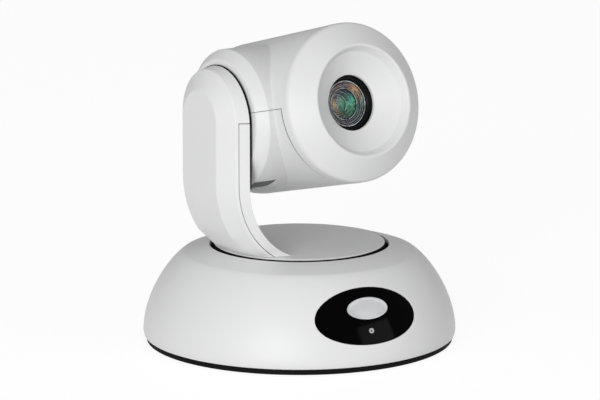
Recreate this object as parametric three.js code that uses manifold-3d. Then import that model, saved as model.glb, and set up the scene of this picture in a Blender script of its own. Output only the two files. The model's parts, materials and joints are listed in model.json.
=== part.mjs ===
// A conference-room pan-tilt-zoom camera: a round base, a turntable with one curved arm, and a tilting camera head.
// Millimetres, +Z up. The origin is the centre of the base where it stands, and the base's front faces -Y.
import * as THREE from "three";
import { mergeVertices } from "three/addons/utils/BufferGeometryUtils.js";
import Module from "manifold-3d";

const wasm = await Module();
wasm.setup();

// ---------------------------------------------------------------- driving dimensions
const GAP = 0.3; // room between neighbouring pieces
const ROUND = 40; // segments round a large turned piece
const SMALL_ROUND = 20; // segments round a small turned piece

// base
const BASE_R = 90.1; // widest radius of the base shell
const BASE_WALL = 2.4;
const RIM_R = 51.5; // radius of the turntable opening
const RIM_Z = 56; // height of the opening's edge
const FOOT_R = 88.3;
const FOOT_INNER_R = 76;
const FOOT_H = 3.2;
const SHELL_LOW = FOOT_H + 0.2; // lower edge of the base shell and of the deck posts
const PLATE = { low: 1.2, high: 3, bossR: 9, bossLow: 0.5, bossHigh: 7.6, threadR: 3.2 }; // bottom plate
const WINDOW = { halfWidth: 31, halfHeight: 16.2, z: 30.6, y: -82.9, lean: 26.6 }; // infrared window on the front
const BADGE = { halfWidth: 12.5, halfHeight: 6.3, z: 34.1, y: -81.4, proud: 0.9 };
const LED = { r: 1.5, boreR: 0.7, z: 22.4, y: -86.3, lean: 20 }; // status light, a short light pipe
const THROUGH = 24; // long enough to cut through a wall
const BAY = { halfWidth: 47, low: 6.5, high: 26, back: 66.2, wall: 2.2 }; // recess for the sockets at the rear
const BOARD_Z = 8; // underside of the main board
const BOARD_T = 1.6;
const SOCKET_LOW = BOARD_Z + BOARD_T + GAP; // underside of what stands on the board at the rear
const SOCKET_REACH = { front: 53, floor: 56, mouth: 68 }; // along Y
const SOCKETS = [
  // place across the rear, outside size, opening size, and how far the opening is off the middle
  { name: "hdmi_port", x: -9, size: [15, 7.5], hole: [13.4, 5], lift: 0 },
  { name: "usb_port", x: 8, size: [12, 11], hole: [9, 8.4], lift: 0 },
  { name: "network_port", x: 24, size: [16, 13.5], hole: [12, 8.4], lift: -0.6 },
  { name: "control_port", x: 40.4, size: [12, 13.5], hole: [10, 8.4], lift: -0.6 },
];
const INLET = { x: -38, size: [10, 11], r: 3.2, pinR: 1 }; // low-voltage power inlet
const SELECTOR = { x: -24, size: [10, 11], front: 55, back: 67, wellFloor: 64, r: 3.4, slot: 1 };
const DECK_Z = 36; // underside of the pan deck
const DECK_T = 2;
const DECK_R = 62;
const POST_R = 60; // radius of the circle of deck posts
const POST_ANGLES = [45, 135, 225, 315];
const POST_WIDTH_R = 4;
const POST_BORE_R = 1.9;
const BEARING = { innerR: 14.3, outerR: 20, low: 39, high: 45.8 }; // pan bearing

// turntable and arm
const PAN_REST = THREE.MathUtils.degToRad(7.6); // how far the head is turned from the base's front
const DISC_R = 49;
const DISC_TOP = 56.6;
const DISC_T = 2.4;
const DISC_RIM = 4.8; // height of the rim round the disc
const SPINDLE = { boreR: 10, r: 14, low: 33, flangeR: 21, flangeT: 2.5, top: DISC_TOP - DISC_T - GAP };
const TILT_Z = 132.1; // height of the tilt axis
const TILT_REST = THREE.MathUtils.degToRad(13.6); // how far the lens looks up
const ARM_INNER_X = -55; // the arm's face next to the head
const ARM_SECTION = [
  // depth from the inner face, half width, and how far its round top is raised
  { depth: 0, half: 31, lift: 0.5 },
  { depth: 7, half: 26.5, lift: 3.4 },
  { depth: 13.5, half: 16.8, lift: 1.9 },
];
const ARM_WALL = 2.2;
const BEND = { x: -11, z: 98, r: 44, thin: 0.2 }; // the arm curves in below z, about a line at x
const COVER_DEPTH = 5; // the inner cover wraps this far round the arm's side
const COVER_TOP = 134.9;
const ARM_SCREWS = { x: -41, y: [-12, 12], headR: 2.4, headH: 1.5, r: 1.1, top: DISC_TOP + 2.2 };
const FOOT_FLARE = { run: 60, rise: 27 }; // how the arm's foot widens above the turntable
const CAVITY_Z = 68; // the arm is solid below this
const STRAP = { outer: 2.7, inner: 4.4, half: 19 }; // steel strap inside the arm, by depth

// head, in its own frame: the origin is on the tilt axis and -Y is the way the lens looks
const HEAD_R = 44.5;
const HEAD_WALL = 2.2;
const HEAD_FRONT = 47.9; // front edge of the housing
const HEAD_BACK = -54;
const SEAM_Z = 1.5; // height of the seam between the two housing halves
const HUB = { r: 40, x: -47.8, endR: 34.6, endX: -53.4 }; // round boss towards the arm
const HUB_WALL = 1.9;
const CREST = { r: 31.2, s: 64.2 }; // foremost ring of the bezel
const PUPIL = { r: 15.65, s: 51.7 }; // opening in the bezel for the lens
const AXLE_R = 7;
const AXLE_BORE_R = 4.5;
const AXLE_ROOM = 1.5; // clearance round the axle where it passes through the arm and the hub
const FRAME_PLATE = { boreR: 12.3, collarR: 15, r: 35, collarX: -47.4, outerX: -42, innerX: -40 };
const HEAD_SCREWS = { places: [[-20, 30], [20, -34]], low: -39.2, headR: 2.3, headH: 1.3, r: 1.1, top: -30 };

// drives
const MODULE_MM = 1;
const BACKLASH = 0.36;
const PAN_TEETH = 72;
const TILT_TEETH = 36;
const PINION_TEETH = 12;
const MESH_ROOM = 0.4; // extra distance between gear centres
const PAN_GEAR_Z = 48;
const PAN_CENTRES = ((PAN_TEETH + PINION_TEETH) * MODULE_MM) / 2 + MESH_ROOM;
const TILT_CENTRES = ((TILT_TEETH + PINION_TEETH) * MODULE_MM) / 2 + MESH_ROOM;
const TILT_MOTOR_ANGLE = THREE.MathUtils.degToRad(35); // up from straight back
const GEAR_X = -51.2; // outer face of the tilt gear
const GEAR_T = 3;
const MOTOR_SHAFT_ROOM = 2.2; // radius of a motor shaft's hole

// lens, by distance s ahead of the tilt axis
const LENS_TUBE = { innerR: 14.6, outerR: 17.4, rear: -5, front: 46.5 };
const TRIM = { innerR: 13.2, outerR: 17.2, rear: 46.8, front: 49.5 };
const FRONT_CELL = { innerR: 12.7, outerR: 14.3, rear: 38, front: 46.3 };
const FRONT_LENS = { r: 12.4, rear: 41, front: 43.4, bulge: 2.6 };
const ZOOM_CELL = { innerR: 9.6, rear: 29, front: 34 };
const ZOOM_LENS = { r: 9.3, rear: 30.6, front: 32.4, bulge: 1.4 };
const FOCUS_CELL = { innerR: 8.6, rear: 4, front: 8 };
const FOCUS_LENS = { r: 8.3, rear: 5.4, front: 6.6, bulge: 1.2 };
const CELL_R = 14.2; // outside of the moving cells
const RODS = { x: [-11.9, 11.9], r: 0.8, holeR: 1.15, rear: -3, front: 37.6 }; // guide rods

// ---------------------------------------------------------------- materials
const finish = (color, roughness, metalness = 0) => new THREE.MeshStandardMaterial({ color, roughness, metalness });
const materials = {
  white: finish(0xe2e2e2, 0.45),
  gloss_black: finish(0x060607, 0.08),
  rubber: finish(0x111111, 0.85),
  silver: finish(0xc9cacc, 0.35, 0.8),
  light_pipe: finish(0xe8eef2, 0.25),
  black_plastic: finish(0x16161a, 0.5),
  steel: finish(0x9a9ca0, 0.4, 1),
  alloy: finish(0xb4b6ba, 0.45, 1),
  board: finish(0x14402a, 0.55),
  glass: finish(0x3f8f74, 0.05),
  brass: finish(0xb08d46, 0.35, 1),
  gear: finish(0xd8d4c4, 0.5),
  motor: finish(0x3a3b3e, 0.45, 0.8),
};

// ---------------------------------------------------------------- solids
// A closed geometry as a solid that can be joined and cut.
function solid(geometry) {
  const bare = geometry.index ? geometry.toNonIndexed() : geometry.clone();
  for (const name of Object.keys(bare.attributes)) if (name !== "position") bare.deleteAttribute(name);
  const merged = mergeVertices(bare, 1e-4);
  const index = merged.index.array;
  const triangles = [];
  for (let i = 0; i < index.length; i += 3) {
    const [a, b, c] = [index[i], index[i + 1], index[i + 2]];
    if (a !== b && b !== c && c !== a) triangles.push(a, b, c);
  }
  const make = (triVerts) =>
    new wasm.Manifold(new wasm.Mesh({ numProp: 3, vertProperties: merged.attributes.position.array, triVerts }));
  const made = make(new Uint32Array(triangles));
  if (made.volume() >= 0) return made;
  for (let i = 0; i < triangles.length; i += 3) {
    [triangles[i + 1], triangles[i + 2]] = [triangles[i + 2], triangles[i + 1]];
  }
  return make(new Uint32Array(triangles));
}

// A solid back as a geometry for a mesh.
function geometryOf(made) {
  const mesh = made.getMesh();
  const geometry = new THREE.BufferGeometry();
  const position = new Float32Array(mesh.numVert * 3);
  for (let i = 0; i < mesh.numVert; i++) {
    position.set(mesh.vertProperties.subarray(i * mesh.numProp, i * mesh.numProp + 3), i * 3);
  }
  geometry.setAttribute("position", new THREE.BufferAttribute(position, 3));
  geometry.setIndex(new THREE.BufferAttribute(new Uint32Array(mesh.triVerts), 1));
  geometry.computeVertexNormals();
  return geometry;
}

const union = (...solids) => solids.reduce((a, b) => a.add(b));

// Turned about Z from [radius, height] points: a profile that starts and ends on the axis, or closes on itself.
function turned(points, segments = ROUND) {
  const loop = points.map(([r, z]) => new THREE.Vector2(r, z));
  if (points[0][0] > 0) loop.push(loop[0].clone());
  const geometry = new THREE.LatheGeometry(loop, segments);
  geometry.rotateX(Math.PI / 2);
  return geometry;
}

// Stand a geometry turned about Z along X, or along -Y, the way the lens looks.
const alongX = (geometry) => geometry.rotateY(Math.PI / 2);
const alongLens = (geometry) => geometry.rotateX(Math.PI / 2);

const rod = (r, low, high, segments = SMALL_ROUND) =>
  turned([[0, low], [r, low], [r, high], [0, high]], segments);
const tube = (rIn, rOut, low, high, segments = SMALL_ROUND) =>
  turned([[rIn, low], [rOut, low], [rOut, high], [rIn, high]], segments);

// A block from its lowest and highest corners.
function block([x0, y0, z0], [x1, y1, z1]) {
  const geometry = new THREE.BoxGeometry(x1 - x0, y1 - y0, z1 - z0);
  return geometry.translate((x0 + x1) / 2, (y0 + y1) / 2, (z0 + z1) / 2);
}

// An upright ellipse prism about the point, leaning back by lean degrees, facing -Y.
function ovalPrism({ halfWidth, halfHeight, y, z }, lean, grow, depth) {
  const outline = new THREE.Shape();
  outline.absellipse(0, 0, halfWidth + grow, halfHeight + grow, 0, 2 * Math.PI);
  const geometry = new THREE.ExtrudeGeometry(outline, { depth, bevelEnabled: false, curveSegments: 18 });
  geometry.translate(0, 0, -depth / 2);
  geometry.rotateX(Math.PI / 2 - THREE.MathUtils.degToRad(lean));
  return geometry.translate(0, y, z);
}

// A spur gear's outline with straight-sided teeth, about the origin, with a tooth or a gap on +X.
function gearOutline(teeth, gapOnX) {
  const pitchR = (teeth * MODULE_MM) / 2;
  const tipR = pitchR + 0.75 * MODULE_MM;
  const rootR = pitchR - 1.15 * MODULE_MM;
  const halfAtPitch = (Math.PI * MODULE_MM) / 4 - BACKLASH / 2;
  const slope = Math.tan(THREE.MathUtils.degToRad(20));
  const corner = (r, angle) => new THREE.Vector2(r * Math.cos(angle), r * Math.sin(angle));
  const points = [];
  for (let i = 0; i < teeth; i++) {
    const middle = ((i + (gapOnX ? 0.5 : 0)) / teeth) * 2 * Math.PI;
    const halfAngle = (r) => (halfAtPitch - (r - pitchR) * slope) / r;
    points.push(corner(rootR, middle - halfAngle(rootR)), corner(tipR, middle - halfAngle(tipR)));
    points.push(corner(tipR, middle + halfAngle(tipR)), corner(rootR, middle + halfAngle(rootR)));
  }
  return points;
}

function gear(teeth, gapOnX, boreR, thickness) {
  const outline = new THREE.Shape(gearOutline(teeth, gapOnX));
  const made = solid(new THREE.ExtrudeGeometry(outline, { depth: thickness, bevelEnabled: false }));
  return boreR ? made.subtract(solid(rod(boreR, -1, thickness + 1))) : made;
}

// ---------------------------------------------------------------- the scene graph
const root = new THREE.Group();
const turntable = new THREE.Group();
turntable.rotation.z = PAN_REST;
const head = new THREE.Group();
head.position.z = TILT_Z;
head.rotation.x = -TILT_REST;
root.add(turntable);
turntable.add(head);

function piece(group, name, material, shape) {
  const mesh = new THREE.Mesh(shape.isBufferGeometry ? shape : geometryOf(shape), materials[material]);
  mesh.name = name;
  group.add(mesh);
  return mesh;
}

// ---------------------------------------------------------------- base shell and what sits in its front
// The dome's outline from the foot to the turntable opening, moved out along its normal by offset.
function domeOutline(offset) {
  const side = new THREE.CubicBezierCurve(
    new THREE.Vector2(BASE_R, 6),
    new THREE.Vector2(BASE_R - 0.6, 27),
    new THREE.Vector2(73, 49.5),
    new THREE.Vector2(62, 52.9),
  );
  const steps = 7;
  const outline = [];
  for (let i = 0; i <= steps; i++) {
    const at = side.getPoint(i / steps);
    const along = side.getTangent(i / steps);
    outline.push([at.x + along.y * offset, at.y - along.x * offset]);
  }
  return outline;
}

function dome(outer, inner, low) {
  const out = domeOutline(outer);
  const inn = domeOutline(inner).reverse();
  return [
    [BASE_R - 1.8 + outer, low],
    ...out,
    [RIM_R, RIM_Z + outer],
    [RIM_R, RIM_Z + Math.max(inner, -3.2) - 0.4],
    ...inn,
    [BASE_R - 1.8 + inner, low],
  ];
}

function baseParts() {
  const shell = solid(turned(dome(0, -BASE_WALL, SHELL_LOW)));
  const windowHole = solid(ovalPrism(WINDOW, WINDOW.lean, GAP, THROUGH));
  const bayHole = solid(block([-BAY.halfWidth, 50, BAY.low], [BAY.halfWidth, 100, BAY.high]));
  piece(root, "base_shell", "white", shell.subtract(windowHole).subtract(bayHole));

  // the window follows the dome, and holds the light pipe of the status light
  const lightPlace = (geometry) => {
    geometry.rotateX(Math.PI / 2 - THREE.MathUtils.degToRad(LED.lean));
    return geometry.translate(0, LED.y, LED.z);
  };
  const windowBand = solid(turned(dome(-0.2, -BASE_WALL, SHELL_LOW)));
  const window = windowBand
    .intersect(solid(ovalPrism(WINDOW, WINDOW.lean, 0, THROUGH)))
    .subtract(solid(lightPlace(rod(LED.r + GAP, -8, 8))));
  piece(root, "ir_window", "gloss_black", window);
  piece(root, "status_light", "light_pipe", lightPlace(tube(LED.boreR, LED.r, -5, 0.3)));
  const badgeBand = solid(turned(dome(BADGE.proud, 0.1, SHELL_LOW)));
  const badge = badgeBand.intersect(solid(ovalPrism(BADGE, WINDOW.lean, 0, THROUGH / 2)));
  piece(root, "badge", "silver", badge);
  piece(root, "ir_receiver", "black_plastic", block([-4, -79, 18], [4, -75.2, 27]));
}

// ---------------------------------------------------------------- underside
const around = (angle, r) => {
  const a = THREE.MathUtils.degToRad(angle);
  return [r * Math.cos(a), r * Math.sin(a)];
};

// A screw that points up: a flat head from low, then a shank up to top.
function screwUp(low, headR, headH, r, top) {
  return turned([[0, low], [headR, low], [headR, low + headH], [r, low + headH], [r, top], [0, top]], 16);
}

function undersideParts() {
  const plateR = FOOT_R - 2.6;
  const beadTop = FOOT_H - 0.1;
  const beadLow = PLATE.low - GAP;
  piece(
    root,
    "foot_ring",
    "rubber",
    turned([
      [FOOT_INNER_R, 0],
      [FOOT_R - 0.5, 0],
      [FOOT_R, 0.5],
      [FOOT_R, beadTop],
      [plateR + GAP, beadTop],
      [plateR + GAP, beadLow],
      [FOOT_INNER_R, beadLow],
    ]),
  );

  // a boss in the middle holds the thread for a tripod or a wall bracket
  let plate = solid(
    turned([
      [0, PLATE.bossLow],
      [PLATE.bossR, PLATE.bossLow],
      [PLATE.bossR, PLATE.low],
      [plateR, PLATE.low],
      [plateR, PLATE.high],
      [PLATE.bossR, PLATE.high],
      [PLATE.bossR, PLATE.bossHigh],
      [0, PLATE.bossHigh],
    ]),
  ).subtract(solid(rod(PLATE.threadR, -1, PLATE.bossHigh - 1)));
  for (const [i, angle] of POST_ANGLES.entries()) {
    const [x, y] = around(angle, POST_R);
    plate = plate.subtract(solid(rod(POST_BORE_R, 0, 4).translate(x, y, 0)));
    piece(root, `bottom_screw_${i + 1}`, "steel", screwUp(0.3, 3.2, 0.6, 1.6, 11).translate(x, y, 0));
  }
  piece(root, "bottom_plate", "black_plastic", plate);
}

// ---------------------------------------------------------------- rear sockets
// A box that stands on the board, between two places along Y.
function onBoard({ x, size: [width, height] }, front, back, grow = 0) {
  const half = width / 2 + grow;
  return solid(block([x - half, front, SOCKET_LOW - grow], [x + half, back, SOCKET_LOW + height + grow]));
}

// Stand a geometry turned about Z along Y, at a place across the rear.
const alongRear = (geometry, x, z) => geometry.rotateX(-Math.PI / 2).translate(x, 0, z);

function socket(design) {
  const [holeWidth, holeHeight] = design.hole;
  const middle = SOCKET_LOW + design.size[1] / 2 + design.lift;
  const hole = block(
    [design.x - holeWidth / 2, SOCKET_REACH.floor, middle - holeHeight / 2],
    [design.x + holeWidth / 2, SOCKET_REACH.mouth + 2, middle + holeHeight / 2],
  );
  const body = onBoard(design, SOCKET_REACH.front, SOCKET_REACH.mouth);
  piece(root, design.name, "steel", body.subtract(solid(hole)));
}

function rearParts() {
  SOCKETS.forEach(socket);
  const inletZ = SOCKET_LOW + INLET.size[1] / 2;
  const inletHole = solid(alongRear(tube(INLET.pinR, INLET.r, 56, 69), INLET.x, inletZ));
  const inletBody = onBoard(INLET, SOCKET_REACH.front, SOCKET_REACH.mouth);
  piece(root, "power_inlet", "black_plastic", inletBody.subtract(inletHole));

  // a turning selector in a small square case
  const dialZ = SOCKET_LOW + SELECTOR.size[1] / 2;
  const dialBack = SELECTOR.back + 1;
  const well = solid(alongRear(rod(SELECTOR.r + 0.4, SELECTOR.wellFloor, dialBack), SELECTOR.x, dialZ));
  const selectorBody = onBoard(SELECTOR, SELECTOR.front, SELECTOR.back);
  piece(root, "selector_case", "black_plastic", selectorBody.subtract(well));
  const dial = solid(alongRear(rod(SELECTOR.r, SELECTOR.wellFloor + 0.4, dialBack), SELECTOR.x, dialZ));
  const slotHalf = 2.6;
  const slot = block(
    [SELECTOR.x - slotHalf, SELECTOR.back, dialZ - SELECTOR.slot / 2],
    [SELECTOR.x + slotHalf, SELECTOR.back + 2, dialZ + SELECTOR.slot / 2],
  );
  piece(root, "selector_dial", "white", dial.subtract(solid(slot)));

  // the recess that frames them all, cut to fit inside the dome
  const { halfWidth, low, high, back, wall } = BAY;
  const outside = solid(block([-halfWidth - wall, back - wall, low - wall], [halfWidth + wall, 100, high + wall]));
  const inside = solid(block([-halfWidth, back, low], [halfWidth, 101, high]));
  const insideOutline = dome(-BASE_WALL - GAP, -BASE_WALL - 1, SHELL_LOW).slice(0, 9);
  const insideDome = solid(turned([[0, 0], ...insideOutline, [0, 52]]));
  let panel = outside.subtract(inside).intersect(insideDome);
  for (const design of [...SOCKETS, INLET, SELECTOR]) {
    panel = panel.subtract(onBoard(design, 50, 75, GAP));
  }
  piece(root, "rear_panel", "black_plastic", panel);

  let board = solid(block([-46, -44, BOARD_Z], [46, 62, BOARD_Z + BOARD_T]));
  for (const angle of POST_ANGLES) {
    const [x, y] = around(angle, POST_R);
    board = board.subtract(solid(rod(POST_WIDTH_R + 0.6, 0, 20).translate(x, y, 0)));
  }
  piece(root, "main_board", "board", board);
}

// ---------------------------------------------------------------- pan drive
function panParts() {
  // deck on four posts, with a collar for the bearing
  const deckTop = DECK_Z + DECK_T;
  const seatZ = BEARING.low - 0.4;
  const collarR = BEARING.outerR + 0.3;
  let deck = solid(
    turned([
      [15, DECK_Z],
      [DECK_R, DECK_Z],
      [DECK_R, deckTop],
      [23.5, deckTop],
      [23.5, BEARING.high + 0.2],
      [collarR, BEARING.high + 0.2],
      [collarR, seatZ],
      [15, seatZ],
    ]),
  );
  for (const angle of POST_ANGLES) {
    const [x, y] = around(angle, POST_R);
    const [padX, padY] = around(angle, POST_R - 2.5);
    deck = deck.add(solid(rod(POST_WIDTH_R, SHELL_LOW, DECK_Z + 1, 16).translate(x, y, 0)));
    deck = deck.add(solid(rod(POST_WIDTH_R, DECK_Z, deckTop, 16).translate(padX, padY, 0)));
    deck = deck.subtract(solid(rod(POST_BORE_R, 0, 12).translate(x, y, 0)));
  }
  deck = deck.subtract(solid(rod(MOTOR_SHAFT_ROOM, 30, 40).translate(-PAN_CENTRES, 0, 0)));
  piece(root, "pan_deck", "alloy", deck);
  piece(root, "pan_bearing", "steel", tube(BEARING.innerR, BEARING.outerR, BEARING.low, BEARING.high, 32));
  piece(root, "pan_motor", "motor", rod(17, 13, DECK_Z - GAP).translate(-PAN_CENTRES, 0, 0));
  const pinion = gear(PINION_TEETH, true, 0, GEAR_T + 0.6).translate([0, 0, PAN_GEAR_Z - 0.3]);
  const shaft = solid(rod(1.6, DECK_Z + 0.2, PAN_GEAR_Z + 1));
  piece(root, "pan_pinion", "brass", union(pinion, shaft)).position.x = -PAN_CENTRES;

  // turning pieces, aligned with the base so that the teeth mesh at rest
  const wheel = piece(turntable, "pan_gear", "gear", gear(PAN_TEETH, false, SPINDLE.r + GAP, GEAR_T));
  wheel.position.z = PAN_GEAR_Z;
  wheel.rotation.z = -PAN_REST;
  const flangeLow = SPINDLE.top - SPINDLE.flangeT;
  const spindle = turned(
    [
      [SPINDLE.boreR, SPINDLE.low],
      [SPINDLE.r, SPINDLE.low],
      [SPINDLE.r, flangeLow],
      [SPINDLE.flangeR, flangeLow],
      [SPINDLE.flangeR, SPINDLE.top],
      [SPINDLE.boreR, SPINDLE.top],
    ],
    32,
  );
  piece(turntable, "pan_spindle", "alloy", spindle);
  const rimR = DISC_R - 2.2;
  const edge = 0.8;
  let disc = solid(
    turned([
      [0, DISC_TOP],
      [DISC_R - edge, DISC_TOP],
      [DISC_R, DISC_TOP - edge],
      [DISC_R, DISC_TOP - DISC_RIM],
      [rimR, DISC_TOP - DISC_RIM],
      [rimR, DISC_TOP - DISC_T],
      [0, DISC_TOP - DISC_T],
    ]),
  );
  const { x, headR, headH, r, top } = ARM_SCREWS;
  for (const [i, y] of ARM_SCREWS.y.entries()) {
    disc = disc.subtract(solid(rod(r + 0.4, 50, 60).translate(x, y, 0)));
    const screw = screwUp(SPINDLE.top - headH, headR, headH, r, top);
    piece(turntable, `arm_screw_${i + 1}`, "steel", screw.translate(x, y, 0));
  }
  piece(turntable, "turntable", "white", disc);
}

// ---------------------------------------------------------------- arm
// A bar with the arm's outline between the section's rows, curved in towards the disc at its foot.
function armBar(rows) {
  const bendSteps = 8;
  const bendEnd = THREE.MathUtils.degToRad(74);
  const topSteps = 12;
  const straightTop = (row) => TILT_Z + row.lift;
  const loop = rows.map((row) => {
    const front = [];
    for (let i = bendSteps; i > 0; i--) {
      const angle = (i / bendSteps) * bendEnd;
      const radius = BEND.r + row.depth * (1 - BEND.thin * Math.sin(angle));
      front.push([BEND.x - radius * Math.cos(angle), -row.half, BEND.z - radius * Math.sin(angle)]);
    }
    const x = ARM_INNER_X - row.depth;
    front.push([x, -row.half, BEND.z]);
    for (let i = 0; i <= topSteps / 2; i++) {
      const angle = (i / topSteps) * Math.PI;
      front.push([x, -row.half * Math.cos(angle), straightTop(row) + row.half * Math.sin(angle)]);
    }
    const back = front.slice(0, -1).reverse().map(([px, py, pz]) => [px, -py, pz]);
    return [...front, ...back];
  });
  const count = loop[0].length;
  const position = [];
  const triangle = (a, b, c) => position.push(...a, ...b, ...c);
  const quad = (a, b, c, d) => {
    triangle(a, b, c);
    triangle(a, c, d);
  };
  for (let j = 0; j + 1 < loop.length; j++) {
    for (let i = 0; i < count; i++) {
      const next = (i + 1) % count;
      quad(loop[j][i], loop[j][next], loop[j + 1][next], loop[j + 1][i]);
    }
  }
  const half = (count - 1) / 2;
  for (let i = 0; i < half; i++) {
    const mirror = count - 1 - i;
    const [inner, outer] = [loop[0], loop[loop.length - 1]];
    if (i + 1 === half) {
      triangle(inner[i], inner[mirror], inner[half]);
      triangle(outer[i], outer[half], outer[mirror]);
    } else {
      quad(inner[i], inner[mirror], inner[mirror - 1], inner[i + 1]);
      quad(outer[i], outer[i + 1], outer[mirror - 1], outer[mirror]);
    }
  }
  const geometry = new THREE.BufferGeometry();
  geometry.setAttribute("position", new THREE.Float32BufferAttribute(position, 3));
  return solid(geometry);
}

// The section's half width and lift at a depth.
function sectionAt(depth) {
  const i = depth < ARM_SECTION[1].depth ? 0 : 1;
  const [a, b] = [ARM_SECTION[i], ARM_SECTION[i + 1]];
  const share = (depth - a.depth) / (b.depth - a.depth);
  return { depth, half: a.half + share * (b.half - a.half), lift: a.lift + share * (b.lift - a.lift) };
}

function armParts() {
  const above = (z) => solid(block([-120, -60, z], [40, 60, 220]));
  const below = (z) => solid(block([-120, -60, 0], [40, 60, z]));
  const outside = armBar(ARM_SECTION);
  const inset = (row) => ({ ...row, half: row.half - ARM_WALL });
  const cavity = armBar([
    inset(sectionAt(ARM_WALL)),
    inset(ARM_SECTION[1]),
    { ...sectionAt(ARM_SECTION[2].depth - ARM_WALL), half: 17.4 },
  ]).intersect(above(CAVITY_Z));

  // the foot's outline stays over the turntable
  const footLow = DISC_TOP + GAP;
  const footHigh = DISC_TOP + FOOT_FLARE.rise;
  const footRoom = solid(
    turned([
      [0, footLow],
      [DISC_R + GAP, footLow],
      [DISC_R + FOOT_FLARE.run, footHigh + 0.6],
      [0, footHigh + 0.6],
    ]),
  );
  const whole = outside
    .subtract(cavity)
    .subtract(below(footLow))
    .subtract(below(footHigh).subtract(footRoom))
    .subtract(solid(alongX(rod(AXLE_R + AXLE_ROOM, -62, -50)).translate(0, 0, TILT_Z)));

  // the inner cover is the part of the bar next to the head, up to its top edge
  const layer = (depth, top) => {
    const { half, lift } = sectionAt(depth);
    return armBar([
      { depth: -2, half: 36, lift },
      { depth, half: half + 8, lift },
    ]).intersect(below(top));
  };
  let shell = whole.subtract(layer(COVER_DEPTH + GAP, COVER_TOP + GAP));
  let cover = whole.intersect(layer(COVER_DEPTH, COVER_TOP));
  for (const y of ARM_SCREWS.y) {
    const hole = solid(rod(ARM_SCREWS.r + GAP, 50, ARM_SCREWS.top + 0.4).translate(ARM_SCREWS.x, y, 0));
    shell = shell.subtract(hole);
    cover = cover.subtract(hole);
  }
  piece(turntable, "arm_shell", "white", shell);
  piece(turntable, "arm_cover", "white", cover);

  const strap = armBar([
    { depth: STRAP.outer, half: STRAP.half, lift: 0 },
    { depth: STRAP.inner, half: STRAP.half, lift: 0 },
  ]).intersect(above(CAVITY_Z + 1));
  const axleHole = solid(alongX(rod(AXLE_R + GAP, -70, -50)).translate(0, 0, TILT_Z));
  piece(turntable, "arm_bracket", "steel", strap.subtract(axleHole));
}

// The fixed axle that the head turns on, with the fixed tilt gear.
function axleParts() {
  const outer = -62.5;
  const inner = -34;
  const flange = { r: 13, outer: -61.3, inner: -59.8 };
  const axle = alongX(
    turned(
      [
        [AXLE_BORE_R, outer],
        [AXLE_R, outer],
        [AXLE_R, flange.outer],
        [flange.r, flange.outer],
        [flange.r, flange.inner],
        [AXLE_R, flange.inner],
        [AXLE_R, inner],
        [AXLE_BORE_R, inner],
      ],
      32,
    ),
  );
  piece(turntable, "tilt_axle", "steel", axle).position.z = TILT_Z;
  const teeth = gear(TILT_TEETH, false, AXLE_R + GAP, GEAR_T);
  const wheel = piece(turntable, "tilt_gear", "gear", geometryOf(teeth).rotateY(Math.PI / 2));
  wheel.position.set(GEAR_X, 0, TILT_Z);
  // a tooth points at the pinion while the head is at its rest tilt
  wheel.rotation.x = Math.PI / 2 + TILT_MOTOR_ANGLE - TILT_REST;
}

// ---------------------------------------------------------------- head housing
// The barrel's outline by distance s ahead of the tilt axis.
const barrelOutline = (thick) => [
  [0, HEAD_BACK + thick],
  [24, HEAD_BACK + 1.6 + thick],
  [36, -49.8 + thick],
  [41.2 - thick * 0.9, -46.6 + thick * 0.7],
  [HEAD_R - 0.6 - thick, -42],
  [HEAD_R + 0.3 - thick, HEAD_FRONT + (thick ? 20 : 0)],
  [0, HEAD_FRONT + (thick ? 20 : 0)],
];

function housingParts() {
  const barrel = solid(alongLens(turned(barrelOutline(0))));
  const hollow = solid(alongLens(turned(barrelOutline(HEAD_WALL))));
  const hubOutline = [[0, HUB.endX], [HUB.endR, HUB.endX], [HUB.r, HUB.x], [HUB.r, -5], [0, -5]];
  const hub = solid(alongX(turned(hubOutline)));
  const hubFloor = HUB.endX + HUB_WALL;
  const hubHollow = solid(
    alongX(
      turned([
        [0, hubFloor],
        [HUB.endR - 1, hubFloor],
        [HUB.r - HEAD_WALL, HUB.x + 1.2],
        [HUB.r - HEAD_WALL, -4],
        [0, -4],
      ]),
    ),
  );
  const axleHole = solid(alongX(rod(AXLE_R + AXLE_ROOM, -60, -45)));
  const housing = barrel.add(hub).subtract(hollow).subtract(hubHollow).subtract(axleHole);
  const upperRoom = solid(block([-100, -100, SEAM_Z + GAP / 2], [100, 100, 100]));
  const lowerRoom = solid(block([-100, -100, -100], [100, 100, SEAM_Z - GAP / 2]));
  piece(head, "head_upper_shell", "white", housing.intersect(upperRoom));

  let lower = housing.intersect(lowerRoom);
  const { places, low, headR, headH, r, top } = HEAD_SCREWS;
  for (const [i, [x, y]] of places.entries()) {
    lower = lower.subtract(solid(rod(headR + 0.4, -50, -34, 16).translate(x, y, 0)));
    piece(head, `head_screw_${i + 1}`, "steel", screwUp(low, headR, headH, r, top).translate(x, y, 0));
  }
  piece(head, "head_lower_shell", "white", lower);

  piece(
    head,
    "front_bezel",
    "white",
    alongLens(
      turned([
        [HEAD_R - 4.6, 43],
        [HEAD_R - 2.5, 43],
        [HEAD_R - 2.5, HEAD_FRONT + GAP],
        [HEAD_R + 0.4, HEAD_FRONT + GAP],
        [HEAD_R + 0.3, 53.6],
        [43.2, 56.6],
        [39.5, 60],
        [34.5, 63.2],
        [CREST.r, CREST.s],
        [29.4, 62.6],
        [27.6, 59.6],
        [PUPIL.r, PUPIL.s],
        [PUPIL.r, PUPIL.s - 1.8],
        [27.4, 56.9],
        [31.2, 60.4],
        [37.2, 58],
        [41, 54.2],
        [HEAD_R - 2.2, 50.5],
        [HEAD_R - 4.6, 48],
      ]),
    ),
  );
}

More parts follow.
